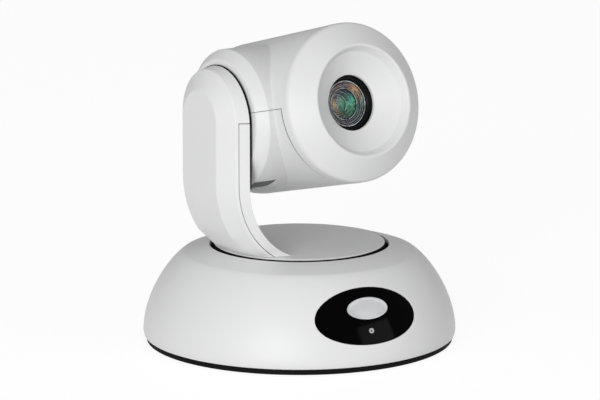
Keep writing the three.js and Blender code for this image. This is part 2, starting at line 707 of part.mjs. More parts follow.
// ---------------------------------------------------------------- head frame and tilt drive
function tiltDriveParts() {
  const y = TILT_CENTRES * Math.cos(TILT_MOTOR_ANGLE);
  const z = TILT_CENTRES * Math.sin(TILT_MOTOR_ANGLE);
  const { boreR, collarR, r, collarX, outerX, innerX } = FRAME_PLATE;
  const plate = solid(
    alongX(
      turned([
        [boreR, collarX],
        [collarR, collarX],
        [collarR, outerX],
        [r, outerX],
        [r, innerX],
        [boreR, innerX],
      ]),
    ),
  );
  const shelf = solid(block([innerX - 0.6, -26, -25], [28, 22, -23]));
  const shaftHole = solid(alongX(rod(MOTOR_SHAFT_ROOM, -50, -35)).translate(0, y, z));
  piece(head, "head_frame", "alloy", plate.add(shelf).subtract(shaftHole));
  const bearing = tube(AXLE_R + GAP, boreR - GAP, collarX + 0.2, innerX - 0.4, 32);
  piece(head, "tilt_bearing", "steel", alongX(bearing));
  piece(head, "tilt_motor", "motor", alongX(rod(10, innerX + GAP, -21.7)).translate(0, y, z));
  const teeth = gear(PINION_TEETH, true, 0, GEAR_T);
  const shaft = solid(rod(1.5, 1, 11));
  const pinion = piece(head, "tilt_pinion", "brass", geometryOf(union(teeth, shaft)).rotateY(Math.PI / 2));
  pinion.position.set(GEAR_X, y, z);
  pinion.rotation.x = TILT_MOTOR_ANGLE + Math.PI / 2;
}

// ---------------------------------------------------------------- lens and camera block
// A lens element that bulges both ways.
function element({ r, rear, front, bulge }) {
  const shoulder = r * 0.6;
  return alongLens(
    turned([
      [0, rear - bulge],
      [shoulder, rear - bulge * 0.64],
      [r, rear],
      [r, front],
      [shoulder, front + bulge * 0.64],
      [0, front + bulge],
    ]),
  );
}

// A ring that slides on the two guide rods.
function movingCell(name, { innerR, rear, front }) {
  let cell = solid(alongLens(tube(innerR, CELL_R, rear, front)));
  for (const x of RODS.x) {
    cell = cell.subtract(solid(alongLens(rod(RODS.holeR, rear - 1, front + 1, 12)).translate(x, 0, 0)));
  }
  piece(head, name, "black_plastic", cell);
}

const ring = ({ innerR, outerR, rear, front }) => alongLens(tube(innerR, outerR, rear, front, 32));

function opticsParts() {
  piece(head, "lens_barrel", "black_plastic", ring(LENS_TUBE));
  const trim = turned(
    [
      [TRIM.innerR, TRIM.rear],
      [TRIM.outerR, TRIM.rear],
      [TRIM.outerR, TRIM.front],
      [TRIM.innerR + 1.7, TRIM.front],
      [TRIM.innerR + 0.7, TRIM.front - 1.1],
      [TRIM.innerR, TRIM.front - 1.1],
    ],
    32,
  );
  piece(head, "lens_trim_ring", "black_plastic", alongLens(trim));
  piece(head, "front_cell", "black_plastic", ring(FRONT_CELL));
  piece(head, "front_lens", "glass", element(FRONT_LENS));
  movingCell("zoom_cell", ZOOM_CELL);
  piece(head, "zoom_lens", "glass", element(ZOOM_LENS));
  movingCell("focus_cell", FOCUS_CELL);
  piece(head, "focus_lens", "glass", element(FOCUS_LENS));
  for (const [i, x] of RODS.x.entries()) {
    const rail = alongLens(rod(RODS.r, RODS.rear, RODS.front, 12)).translate(x, 0, 0);
    piece(head, `guide_rod_${i + 1}`, "steel", rail);
  }
}

// The case, sensor, boards and small motors round the lens.
function cameraBlockParts() {
  const caseSolid = solid(block([-20, -18, -22.7], [20, 8, 20]));
  const tubeRoom = solid(alongLens(rod(LENS_TUBE.outerR + GAP, -20, 30, 32)));
  piece(head, "camera_block", "black_plastic", caseSolid.subtract(tubeRoom));
  piece(head, "image_sensor", "gloss_black", block([-8, 9.6, -6], [8, 11.7, 6]));
  piece(head, "sensor_board", "board", block([-18, 12, -18], [18, 13.6, 18]));
  let sink = solid(block([-18, 14, -18], [18, 16, 18]));
  for (const x of [-16, -8, 0, 8, 16]) {
    sink = sink.add(solid(block([x - 1, 15.5, -18], [x + 1, 27, 18])));
  }
  piece(head, "heat_sink", "alloy", sink);
  piece(head, "video_board", "board", block([-26, -20, 26], [26, 30, 27.6]));
  for (const [name, z, front] of [["zoom_motor", -6, 38], ["focus_motor", 6, 34]]) {
    piece(head, name, "motor", alongLens(rod(4, 20, front)).translate(25, 0, z));
  }
}

baseParts();
undersideParts();
rearParts();
panParts();
armParts();
axleParts();
housingParts();
tiltDriveParts();
opticsParts();
cameraBlockParts();

export default root;
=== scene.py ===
"""A white conference-room camera: domed base, turntable, one curved side arm and a tilting camera head."""
import json
import math

import bpy
from mathutils import Matrix, Vector
from mathutils.geometry import interpolate_bezier


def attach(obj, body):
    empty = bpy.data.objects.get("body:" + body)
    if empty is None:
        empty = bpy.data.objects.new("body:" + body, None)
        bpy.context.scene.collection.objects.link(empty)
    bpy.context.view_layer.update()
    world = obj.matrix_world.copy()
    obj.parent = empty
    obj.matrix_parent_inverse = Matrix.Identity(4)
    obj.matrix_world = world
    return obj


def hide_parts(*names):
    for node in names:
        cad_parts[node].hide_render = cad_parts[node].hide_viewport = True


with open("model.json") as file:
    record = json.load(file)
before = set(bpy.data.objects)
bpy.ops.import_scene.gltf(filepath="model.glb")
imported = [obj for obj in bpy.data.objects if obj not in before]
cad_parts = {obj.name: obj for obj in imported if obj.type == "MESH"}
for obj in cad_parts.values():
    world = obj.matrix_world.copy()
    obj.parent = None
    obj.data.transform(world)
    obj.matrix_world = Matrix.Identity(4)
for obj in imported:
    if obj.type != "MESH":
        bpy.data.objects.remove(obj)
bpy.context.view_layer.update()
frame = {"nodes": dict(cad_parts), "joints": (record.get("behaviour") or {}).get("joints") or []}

MM = 0.001
GAP = 0.3 * MM  # room between neighbouring pieces
WELD_GAP = 0.001 * MM  # corners closer than this are one corner
FAR = 0.2  # past every piece, for the tools that cut one side away
FINE = 128  # segments round a large turned piece
SMALL = 64  # segments round a small turned piece

# ---------------------------------------------------------------- places
JOINTS = {joint["name"]: joint for joint in frame["joints"]}
LOOK = Vector(JOINTS["zoom"]["axis"]).normalized()
SIDE = -Vector(JOINTS["tilt"]["axis"]).normalized()
PIVOT = Vector(JOINTS["tilt"]["pos_m"])


def place_of(x, y, z, origin):
    """A place whose own axes point along x, y and z."""
    return Matrix.Translation(origin) @ Matrix((x, y, z)).transposed().to_4x4()


UP = Vector((0, 0, 1))
BASE = Matrix.Identity(4)
PAN = place_of(SIDE, UP.cross(SIDE), UP, Vector())
HEAD = place_of(SIDE, -LOOK, LOOK.cross(SIDE), PIVOT)
LENS = HEAD @ Matrix.Rotation(math.pi / 2, 4, "X")  # turned pieces: Z is the way the lens looks
HUB = HEAD @ Matrix.Rotation(math.pi / 2, 4, "Y")  # turned pieces: Z is the tilt axis, away from the arm


def reach(node, place=BASE):
    """Lowest and highest corner of a CAD node along a place's own axes."""
    inside = place.inverted()
    corners = [inside @ vertex.co for vertex in frame["nodes"][node].data.vertices]
    return [Vector([pick(corner[axis] for corner in corners) for axis in range(3)]) for pick in (min, max)]


# ---------------------------------------------------------------- sizes, from the frame
BASE_LOW, BASE_HIGH = reach("base_shell")
BASE_R = BASE_HIGH.x
RIM_Z = BASE_HIGH.z
SHELL_LOW = BASE_LOW.z - 0.35 * MM
DISC_LOW, DISC_HIGH = reach("turntable", PAN)
DISC_R = DISC_HIGH.x
DISC_TOP = DISC_HIGH.z
RIM_R = DISC_R + 2.5 * MM
BEZEL_HIGH = reach("front_bezel", LENS)[1]
BEZEL_R = BEZEL_HIGH.x
CREST_S = BEZEL_HIGH.z
HEAD_R = BEZEL_R - 0.4 * MM
UPPER_LOW, UPPER_HIGH = reach("head_upper_shell", HEAD)
HEAD_FRONT = -UPPER_LOW.y
HEAD_BACK = -UPPER_HIGH.y
HUB_END = UPPER_LOW.x
SEAM_Z = reach("head_lower_shell", HEAD)[1].z + GAP / 2
COVER_TOP = reach("arm_cover", PAN)[1].z
ARM_DEPTH = 13.5 * MM
ARM_INNER = reach("arm_shell", PAN)[0].x + ARM_DEPTH
TILT_Z = PIVOT.z
FOOT_R = reach("foot_ring")[1].x


# ---------------------------------------------------------------- modelling
def deselect():
    """Leaves edit mode and selects nothing."""
    if bpy.context.object and bpy.context.object.mode != "OBJECT":
        bpy.ops.object.mode_set(mode="OBJECT")
    bpy.ops.object.select_all(action="DESELECT")


def activate(piece):
    """Selects this piece alone."""
    deselect()
    piece.select_set(True)
    bpy.context.view_layer.objects.active = piece


def settle(piece, place=BASE):
    """Puts the piece at its place and moves that place into its mesh."""
    activate(piece)
    bpy.ops.object.transform_apply(location=True, rotation=True, scale=True)
    piece.matrix_world = place
    bpy.context.view_layer.update()
    bpy.ops.object.transform_apply(location=True, rotation=True, scale=True)
    return piece


def tidy_faces():
    """In edit mode: merges doubles and turns every face outwards."""
    bpy.ops.mesh.select_all(action="SELECT")
    bpy.ops.mesh.remove_doubles(threshold=1e-7)
    bpy.ops.mesh.normals_make_consistent(inside=False)


def select_where(piece, kind, test):
    """In edit mode: selects the edges or faces whose corners pass the test."""
    bpy.ops.mesh.select_mode(type=kind)
    bpy.ops.mesh.select_all(action="DESELECT")
    bpy.ops.object.mode_set(mode="OBJECT")
    corners = piece.data.vertices
    for part in piece.data.edges if kind == "EDGE" else piece.data.polygons:
        part.select = test([corners[i].co for i in part.vertices])
    bpy.ops.object.mode_set(mode="EDIT")


def smooth(piece, degrees=32):
    """Shades the piece smooth, and keeps edges over the angle sharp."""
    activate(piece)
    bpy.ops.object.shade_smooth_by_angle(angle=math.radians(degrees))
    return piece


def finish_with(piece, kind, **settings):
    """Adds a modifier and applies it."""
    activate(piece)
    modifier = piece.modifiers.new(kind.title(), kind)
    for key, value in settings.items():
        setattr(modifier, key, value)
    bpy.ops.object.modifier_apply(modifier=modifier.name)
    return piece


def soften(piece, width, segments=3, degrees=30):
    """Rounds the piece's edges that are sharper than the angle."""
    sharp = {"limit_method": "ANGLE", "angle_limit": math.radians(degrees)}
    return finish_with(piece, "BEVEL", width=width, segments=segments, **sharp)


def boolean(piece, operation, *tools):
    """Cuts, joins or meets the piece with each tool, and removes the tools.

    Each result is welded, because the next cut can go wrong on corners that are all but one point.
    """
    for tool in tools:
        finish_with(piece, "BOOLEAN", operation=operation, object=tool, solver="EXACT")
        finish_with(piece, "WELD", merge_threshold=WELD_GAP)
        bpy.data.objects.remove(tool)
    return piece


def copy_of(piece, name):
    """A copy with a mesh of its own."""
    copy = piece.copy()
    copy.data = piece.data.copy()
    copy.name = name
    bpy.context.collection.objects.link(copy)
    return copy


def rounded(corners, steps=5):
    """An outline's points from its corners: a corner (x, y, radius) becomes an arc."""
    points = []
    count = len(corners)
    for i, corner in enumerate(corners):
        here = Vector(corner[:2])
        if len(corner) < 3:
            points.append(here)
            continue
        before = (Vector(corners[i - 1][:2]) - here).normalized()
        after = (Vector(corners[(i + 1) % count][:2]) - here).normalized()
        half = before.angle(after) / 2
        run = corner[2] / math.tan(half)
        middle = here + (before + after).normalized() * (corner[2] / math.sin(half))
        start = here + before * run - middle
        end = here + after * run - middle
        sweep = start.angle(end)
        for step in range(steps + 1):
            share = step / steps
            from_start = math.sin((1 - share) * sweep) / math.sin(sweep)
            from_end = math.sin(share * sweep) / math.sin(sweep)
            points.append(middle + start * from_start + end * from_end)
    return points


def draw(name, points):
    """A wire through the points, drawn by extruding one vertex."""
    deselect()
    bpy.ops.mesh.primitive_plane_add(size=MM, location=points[0])
    piece = bpy.context.object
    piece.name = name
    bpy.ops.object.mode_set(mode="EDIT")
    bpy.ops.mesh.select_mode(type="VERT")
    bpy.ops.mesh.select_all(action="SELECT")
    bpy.ops.mesh.merge(type="CENTER")
    for here, there in zip(points, points[1:]):
        bpy.ops.mesh.extrude_region_move(TRANSFORM_OT_translate={"value": there - here})
    return piece


def turned(name, outline, place, segments=FINE):
    """Spins an outline of (radius, height) points about the place's Z axis."""
    points = [Vector((max(radius, 0), 0, height)) for radius, height in outline]
    on_axis = points[0].x < 1e-9
    if not on_axis:
        points.append(points[0].copy())
    piece = draw(name, points)
    bpy.ops.mesh.select_all(action="SELECT")
    bpy.ops.mesh.spin(steps=segments, angle=2 * math.pi, center=(0, 0, 0), axis=(0, 0, 1))
    tidy_faces()
    bpy.ops.object.mode_set(mode="OBJECT")
    return smooth(settle(piece, place))


def block(name, low, high, place=BASE, round_off=0.0, segments=3):
    """A block between two corners, with its edges rounded."""
    deselect()
    low, high = Vector(low), Vector(high)
    bpy.ops.mesh.primitive_cube_add(size=1, location=(low + high) / 2, scale=high - low)
    piece = bpy.context.object
    piece.name = name
    bpy.ops.object.transform_apply(location=True, rotation=True, scale=True)
    if round_off:
        soften(piece, round_off, segments)
    return smooth(settle(piece, place))


def cylinder(name, radius, low, high, place, segments=SMALL):
    """A plain round tool between two heights."""
    return turned(name, [(0, low), (radius, low), (radius, high), (0, high)], place, segments)


def centre_of(low, high):
    """The middle between two corners."""
    return (low + high) / 2


def extruded(name, points, reach_by, place=BASE):
    """A flat outline in the place's XY plane, filled and pulled up along its Z axis."""
    outline = [Vector((x, y, 0)) for x, y in points]
    piece = draw(name, outline + [outline[0]])
    bpy.ops.mesh.select_all(action="SELECT")
    bpy.ops.mesh.remove_doubles(threshold=1e-8)
    bpy.ops.mesh.edge_face_add()
    bpy.ops.mesh.extrude_region_move(TRANSFORM_OT_translate={"value": (0, 0, reach_by)})
    tidy_faces()
    bpy.ops.object.mode_set(mode="OBJECT")
    return settle(piece, place)


def oval(half_width, half_height, count=96):
    """Points round an oval."""
    turns = [2 * math.pi * i / count for i in range(count)]
    return [(half_width * math.cos(turn), half_height * math.sin(turn)) for turn in turns]


# ---------------------------------------------------------------- finishes
class Value:
    """A shader socket that works in Python expressions."""

    def __init__(self, finish, socket):
        self.finish = finish
        self.socket = socket

    def math(self, operation, first, second):
        return self.finish.node("ShaderNodeMath", {"operation": operation}, {0: first, 1: second})

    def __add__(self, other):
        return self.math("ADD", self, other)

    def __sub__(self, other):
        return self.math("SUBTRACT", self, other)

    def __rsub__(self, other):
        return self.math("SUBTRACT", other, self)

    def __mul__(self, other):
        return self.math("MULTIPLY", self, other)

    __radd__ = __add__
    __rmul__ = __mul__


class Finish:
    """A material that is put together node by node."""

    def __init__(self, name):
        self.material = bpy.data.materials.new(name)
        self.material.use_nodes = True
        self.tree = self.material.node_tree
        self.tree.nodes.clear()
        self.here = self.node("ShaderNodeTexCoord", output="Object")

    def node(self, kind, settings=None, inputs=None, output=0):
        """Adds a node, sets its settings and then its sockets, and gives one output."""
        made = self.tree.nodes.new(kind)
        for key, value in (settings or {}).items():
            if key == "stops":
                self.set_stops(made.color_ramp, value)
            else:
                setattr(made, key, value)
        for key, value in (inputs or {}).items():
            if isinstance(value, Value):
                self.tree.links.new(value.socket, made.inputs[key])
            else:
                made.inputs[key].default_value = value
        return Value(self, made.outputs[output]) if made.outputs else made

    @staticmethod
    def set_stops(ramp, stops):
        while len(ramp.elements) < len(stops):
            ramp.elements.new(1)
        for element, (position, colour) in zip(ramp.elements, stops):
            element.position = position
            element.color = (*colour, 1)

    def noise(self, scale, detail=2.0, roughness=0.5, where=None):
        sockets = {"Vector": where or self.here, "Scale": scale, "Detail": detail, "Roughness": roughness}
        return self.node("ShaderNodeTexNoise", inputs=sockets)

    def stretched(self, scale, turn=(0, 0, 0), shift=(0, 0, 0)):
        """Object coordinates, moved, turned and stretched."""
        sockets = {"Vector": self.here, "Location": shift, "Rotation": turn, "Scale": scale}
        return self.node("ShaderNodeMapping", inputs=sockets)

    def ramp(self, value, *stops):
        """A value from 0 to 1 as a colour between stops of (position, colour)."""
        return self.node("ShaderNodeValToRGB", {"stops": stops}, {0: value})

    def above(self, value, low, high):
        """0 below low, 1 above high, and smooth between them."""
        settings = {"interpolation_type": "SMOOTHSTEP"}
        sockets = {"Value": value, "From Min": low, "From Max": high}
        return self.node("ShaderNodeMapRange", settings, sockets)

    def mix(self, share, first, second):
        """Between two colours, by a share from 0 to 1."""
        sockets = {0: share, 6: self.colour(first), 7: self.colour(second)}
        return self.node("ShaderNodeMix", {"data_type": "RGBA"}, sockets, output=2)

    @staticmethod
    def colour(tint):
        return tint if isinstance(tint, Value) else (*tint, 1)

    def distance(self, point):
        """How far a point of the surface is from a fixed point."""
        settings = {"operation": "DISTANCE"}
        return self.node("ShaderNodeVectorMath", settings, {0: self.here, 1: point}, output="Value")

    def done(self, colour, roughness, metallic=0.0, height=None, depth=0.00002, **own):
        """Ends the material in one surface shader. The sockets in own are the same all over."""
        sockets = {"Base Color": self.colour(colour), "Roughness": roughness, "Metallic": metallic}
        sockets.update({key.replace("_", " "): value for key, value in own.items()})
        if height is not None:
            bump = {"Height": height, "Distance": depth, "Strength": 1.0}
            sockets["Normal"] = self.node("ShaderNodeBump", inputs=bump)
        shader = self.node("ShaderNodeBsdfPrincipled", inputs=sockets)
        self.node("ShaderNodeOutputMaterial", inputs={"Surface": shader})
        return self.material


def white_moulding():
    """Satin white plastic: a fine mould grain, faint flow clouds and a few rubbed patches."""
    f = Finish("white_moulding")
    clouds = f.noise(9, 3)
    grain = f.noise(2400, 3, 0.6)
    rubbed = f.above(f.noise(38, 5, 0.65), 0.58, 0.78)
    specks = f.above(f.noise(900, 1), 0.75, 0.82)
    clean = f.mix(clouds, (0.795, 0.797, 0.800), (0.845, 0.846, 0.846))
    colour = f.mix(specks * 0.25, clean, (0.55, 0.55, 0.54))
    roughness = 0.36 + 0.10 * clouds + 0.08 * grain - 0.07 * rubbed
    worn_grain = grain * (1 - 0.5 * rubbed)
    return f.done(colour, roughness, height=worn_grain, depth=0.000018, Specular_IOR_Level=0.45)


def window_gloss():
    """Polished near-black window, clear to infrared, with faint wiping marks."""
    f = Finish("window_gloss")
    wiped = f.noise(26, 4, 0.6, f.stretched((1, 0.35, 2.2), (0, 0, 0.5)))
    dust = f.above(f.noise(1500, 2), 0.70, 0.80)
    colour = f.mix(dust * 0.4, (0.0008, 0.0008, 0.001), (0.02, 0.02, 0.022))
    roughness = 0.05 + 0.10 * wiped + 0.2 * dust
    return f.done(colour, roughness, height=wiped, depth=0.000004, Specular_IOR_Level=0.045)


def black_moulding(name="black_moulding", tone=0.016, rough=0.42, shine=0.5):
    """Black textured plastic."""
    f = Finish(name)
    grain = f.noise(2000, 3, 0.6)
    clouds = f.noise(30, 3)
    colour = f.mix(clouds, (tone, tone, tone * 1.05), (tone * 1.9, tone * 1.9, tone * 1.95))
    roughness = rough + 0.12 * clouds + 0.1 * grain
    return f.done(colour, roughness, height=grain, depth=0.00003, Specular_IOR_Level=shine)


def rubber():
    """Dull black rubber, a little dusty."""
    f = Finish("rubber")
    dust = f.noise(70, 5, 0.7)
    grain = f.noise(1700, 4, 0.7)
    colour = f.mix(f.above(dust, 0.45, 0.8), (0.002, 0.002, 0.0022), (0.009, 0.0088, 0.0085))
    return f.done(colour, 0.62 + 0.2 * dust, height=grain, depth=0.00005, Specular_IOR_Level=0.12)


def silver_badge():
    """Satin silver plate with fine upright brushing."""
    f = Finish("silver_badge")
    brushed = f.noise(1, 4, 0.6, f.stretched((3200, 240, 120)))
    clouds = f.noise(160, 2)
    colour = f.mix(clouds, (0.66, 0.67, 0.69), (0.82, 0.83, 0.84))
    return f.done(colour, 0.30 + 0.16 * brushed, 0.35, height=brushed, depth=0.000012)


def bright_metal(name, low, high, rough, stretch):
    """Plain metal with drawn or brushed marks."""
    f = Finish(name)
    marks = f.noise(1, 4, 0.65, f.stretched(stretch))
    stains = f.noise(55, 4, 0.6)
    colour = f.mix(0.6 * marks + 0.4 * stains, low, high)
    return f.done(colour, rough + 0.14 * marks + 0.1 * stains, 1.0, height=marks, depth=0.000015)


def cast_alloy():
    """Die-cast alloy: grainy, grey and uneven."""
    f = Finish("cast_alloy")
    grain = f.noise(900, 5, 0.7)
    clouds = f.noise(45, 3)
    colour = f.mix(clouds, (0.42, 0.43, 0.44), (0.60, 0.60, 0.61))
    return f.done(colour, 0.42 + 0.2 * grain, 0.9, height=grain, depth=0.00006)


def circuit_board():
    """Green solder mask over copper tracks, with small tinned pads."""
    f = Finish("circuit_board")
    square = {"distance": "CHEBYCHEV", "feature": "F1"}
    cells = f.node("ShaderNodeTexVoronoi", square, {"Vector": f.here, "Scale": 420})
    tracks = f.above(f.noise(1, 1, 0.4, f.stretched((90, 700, 700))), 0.50, 0.56)
    pads = 1 - f.above(cells, 0.16, 0.20)
    mask = f.mix(tracks, (0.008, 0.075, 0.035), (0.016, 0.125, 0.055))
    colour = f.mix(pads, mask, (0.62, 0.62, 0.60))
    return f.done(colour, 0.32 + 0.15 * pads, 0.7 * pads, height=tracks + pads, depth=0.00003)


def gear_plastic():
    """Natural acetal, milky and slightly waxy."""
    f = Finish("gear_plastic")
    clouds = f.noise(60, 3)
    grain = f.noise(1400, 2)
    colour = f.mix(clouds, (0.70, 0.67, 0.58), (0.80, 0.78, 0.70))
    return f.done(colour, 0.38 + 0.1 * grain, height=grain, depth=0.00002)


def light_pipe():
    """Clear frosted plastic, lit faintly from behind."""
    f = Finish("light_pipe")
    frost = f.noise(2600, 3)
    colour = f.mix(frost, (0.40, 0.43, 0.46), (0.60, 0.63, 0.66))
    glow = {"Emission_Color": (0.8, 0.9, 1, 1), "Emission_Strength": 0.02}
    return f.done(colour, 0.30 + 0.2 * frost, height=frost, depth=0.00002, **glow)


FINISHES = {
    "white": white_moulding(),
    "window": window_gloss(),
    "black": black_moulding(),
    "lens_black": black_moulding("lens_black", 0.0015, 0.30, 0.10),
    # painted shade: the dark grey of the pad under the hub
    "painted_shade_pad": black_moulding("painted_shade_pad", 0.11, 0.6, 0.3),
    "rubber": rubber(),
    "silver": silver_badge(),
    "steel": bright_metal("plated_steel", (0.46, 0.46, 0.47), (0.66, 0.66, 0.67), 0.24, (900, 90, 900)),
    "brass": bright_metal("turned_brass", (0.60, 0.42, 0.17), (0.80, 0.61, 0.30), 0.22, (300, 300, 1800)),
    "alloy": cast_alloy(),
    "board": circuit_board(),
    "gear": gear_plastic(),
    "motor": bright_metal("motor_can", (0.10, 0.10, 0.11), (0.17, 0.17, 0.18), 0.30, (120, 120, 1500)),
    "light": light_pipe(),
}


def paint(piece, finish):
    """Gives the whole piece one finish."""
    piece.data.materials.clear()
    piece.data.materials.append(FINISHES[finish])
    for face in piece.data.polygons:
        face.material_index = 0


def add(piece, finish, body, *nodes):
    """Gives a finished piece its finish and body, and hides the CAD nodes that it stands for."""
    paint(piece, finish)
    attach(piece, body)
    if nodes:
        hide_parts(*nodes)
    return piece


# ---------------------------------------------------------------- base
DOME_WALL = 2.4 * MM
DOME_FOOT_IN = 1.8 * MM  # how far the casing's lowest edge is set in
DOME_STEPS = 26
# foot, two handles and shoulder of the side's curve: radius as a share of the base's, and height
DOME_CURVE = [(1.0, 6 * MM), (89.5 / 90.1, 27 * MM), (74.5 / 90.1, 46.8 * MM), (66.5 / 90.1, 51.5 * MM)]


def dome_side(offset=0.0):
    """The dome's side from its foot to the shoulder, moved inwards by the offset."""
    knots = [Vector((share * BASE_R, height, 0)) for share, height in DOME_CURVE]
    curve = interpolate_bezier(*knots, DOME_STEPS)
    last = DOME_STEPS - 1
    points = []
    for i, here in enumerate(curve):
        along = (curve[min(i + 1, last)] - curve[max(i - 1, 0)]).normalized()
        points.append((here.x - along.y * offset, here.y + along.x * offset))
    return points


def dome_band(name, out, inn):
    """A shell that follows the dome between two offsets, both measured inwards."""
    low = SHELL_LOW
    side = dome_side(out)
    lip = (RIM_R, RIM_Z - out)
    shoulder = Vector(side[-1]).lerp(Vector(lip), 0.05)  # keeps the crease below the top slope crisp
    outline = [(BASE_R - DOME_FOOT_IN - out, low), (BASE_R - 0.55 * MM - out, low + 0.5 * MM)]
    outline += side
    outline += rounded([tuple(shoulder), (*lip, 0.7 * MM), (RIM_R, RIM_Z - 3 * MM)])
    outline += dome_side(inn)[::-1]
    outline += [(BASE_R - DOME_FOOT_IN - inn, low)]
    return turned(name, outline, BASE)


WINDOW_HALF_W = reach("ir_window")[1].x
WINDOW_HALF_H = 16.2 * MM
WINDOW_LEAN = math.radians(26.6)
WINDOW_FACING = Matrix.Rotation(math.pi / 2 - WINDOW_LEAN, 4, "X")
WINDOW_PLACE = Matrix.Translation((0, -82.9 * MM, 30.6 * MM)) @ WINDOW_FACING
BADGE_PLACE = Matrix.Translation((0, -81.4 * MM, 34.1 * MM)) @ WINDOW_FACING
LIGHT_PLACE = Matrix.Translation((0, -86.3 * MM, 22.4 * MM)) @ Matrix.Rotation(math.radians(70), 4, "X")


def oval_tool(name, half_width, half_height, place, depth=24 * MM):
    """An oval rod centred on a place, to cut or trim with."""
    start = place @ Matrix.Translation((0, 0, -depth / 2))
    return extruded(name, oval(half_width, half_height), depth, start)


def base():
    """The domed casing, its window, the badge and the status light."""
    shell = dome_band("base_dome", 0.0, DOME_WALL)
    bay_rim = 2.2 * MM
    hole = oval_tool("window_hole", WINDOW_HALF_W + GAP, WINDOW_HALF_H + GAP, WINDOW_PLACE)
    panel_low, panel_high = reach("rear_panel")
    bay = block(
        "bay_hole",
        (panel_low.x + bay_rim, 50 * MM, panel_low.z + bay_rim),
        (panel_high.x - bay_rim, 100 * MM, panel_high.z - bay_rim),
        round_off=3 * MM,
        segments=6,
    )
    boolean(shell, "DIFFERENCE", hole, bay)
    finish_with(shell, "WELD", merge_threshold=0.12 * MM)
    soften(shell, 0.4 * MM, 3, 40)
    add(smooth(shell, 30), "white", "base", "base_shell")

    window = dome_band("infrared_window", 0.25 * MM, 2.2 * MM)
    boolean(window, "INTERSECT", oval_tool("window_shape", WINDOW_HALF_W, WINDOW_HALF_H, WINDOW_PLACE))
    boolean(window, "DIFFERENCE", oval_tool("light_hole", 1.8 * MM, 1.8 * MM, LIGHT_PLACE, 16 * MM))
    add(smooth(window, 30), "window", "base", "ir_window")

    badge = dome_band("badge_plate", -0.75 * MM, 0.0)
    boolean(badge, "INTERSECT", oval_tool("badge_shape", 12.5 * MM, 6.3 * MM, BADGE_PLACE, 12 * MM))
    recess = dome_band("badge_recess", -1.5 * MM, -0.55 * MM)
    boolean(recess, "INTERSECT", oval_tool("badge_inner", 11.6 * MM, 5.5 * MM, BADGE_PLACE, 12 * MM))
    boolean(badge, "DIFFERENCE", recess)
    finish_with(badge, "WELD", merge_threshold=0.05 * MM)
    soften(badge, 0.15 * MM, 2, 50)
    add(smooth(badge, 30), "silver", "base", "badge")

    ring = rounded([
        (0.75 * MM, -5 * MM),
        (1.5 * MM, -5 * MM),
        (1.5 * MM, 0.3 * MM, 0.3 * MM),
        (0.75 * MM, 0.3 * MM, 0.2 * MM),
    ])
    add(turned("status_ring", ring, LIGHT_PLACE, SMALL), "light", "base", "status_light")


def underside():
    """The black ring that the base stands on."""
    inner, web = 76 * MM, 0.9 * MM
    bead = FOOT_R - 2.3 * MM
    top = SHELL_LOW - GAP
    ring = rounded([
        (inner, 0, 0.25 * MM),
        (FOOT_R, 0, 0.6 * MM),
        (FOOT_R, top, 0.4 * MM),
        (bead, top),
        (bead, web),
        (inner, web),
    ])
    add(turned("foot_bead", ring, BASE), "rubber", "base", "foot_ring")


def screw(name, head_r, head_h, length, place):
    """A pan-head screw with a cross recess, its head at the low end."""
    outline = rounded([
        (0, 0),
        (head_r, 0, head_h * 0.45),
        (head_r, head_h),
        (head_r * 0.48, head_h),
        (head_r * 0.48, length),
        (0, length),
    ])
    piece = turned(name, outline, BASE, 32)
    arm = head_r * 0.62
    slot = head_r * 0.13
    boolean(piece, "DIFFERENCE", block("slot_x", (-arm, -slot, -1 * MM), (arm, slot, head_h * 0.55)))
    boolean(piece, "DIFFERENCE", block("slot_y", (-slot, -arm, -1 * MM), (slot, arm, head_h * 0.55)))
    return smooth(settle(piece, place), 30)


def screws():
    """Four screws in the bottom plate, and two in the head's lower half."""
    rows = (
        # CAD name, count, piece's name, body, place, head radius and height, length
        ("bottom_screw", 4, "base_screw", "base", BASE, 3.15 * MM, 0.55 * MM, 10 * MM),
        ("head_screw", 2, "shell_screw", "head", HEAD, 2.25 * MM, 1.2 * MM, 9 * MM),
    )
    for node, count, name, body, place, head_r, head_h, length in rows:
        pattern = screw("screw_pattern", head_r, head_h, length, BASE)
        for number in range(1, count + 1):
            low, high = reach(f"{node}_{number}", place)
            middle = centre_of(low, high)
            piece = copy_of(pattern, f"{name}_{number}")
            settle(piece, place @ Matrix.Translation((middle.x, middle.y, low.z)))
            add(piece, "steel", body, f"{node}_{number}")
        bpy.data.objects.remove(pattern)


def contact_rows():
    """Spring contacts inside two rear sockets."""
    low, high = (-0.2 * MM, 57 * MM, 12.4 * MM), (0.2 * MM, 65 * MM, 12.8 * MM)
    pattern = block("contact_pattern", low, high, BASE, 0.1 * MM, 2)
    for node, count, pitch in (("network_port", 8, 1.02 * MM), ("control_port", 8, 0.9 * MM)):
        middle = centre_of(*reach(node))
        for number in range(count):
            piece = copy_of(pattern, f"{node}_contact_{number + 1}")
            along = (number - (count - 1) / 2) * pitch
            piece.data.transform(Matrix.Translation((middle.x + along, 0, 0)))
            add(piece, "brass", "base")
    bpy.data.objects.remove(pattern)


def tongues():
    """The plastic tongues inside the display and data sockets."""
    front, rear = 56.2 * MM, 65.5 * MM
    rows = (
        # piece's name, CAD name, half width, half height, rounding
        ("display_tongue", "hdmi_port", 5 * MM, 0.5 * MM, 0.2 * MM),
        ("data_core", "usb_port", 2.6 * MM, 1.6 * MM, 0.4 * MM),
    )
    for name, node, half_w, half_h, round_off in rows:
        middle = centre_of(*reach(node))
        low = (middle.x - half_w, front, middle.z - half_h)
        high = (middle.x + half_w, rear, middle.z + half_h)
        add(block(name, low, high, BASE, round_off), "black", "base")


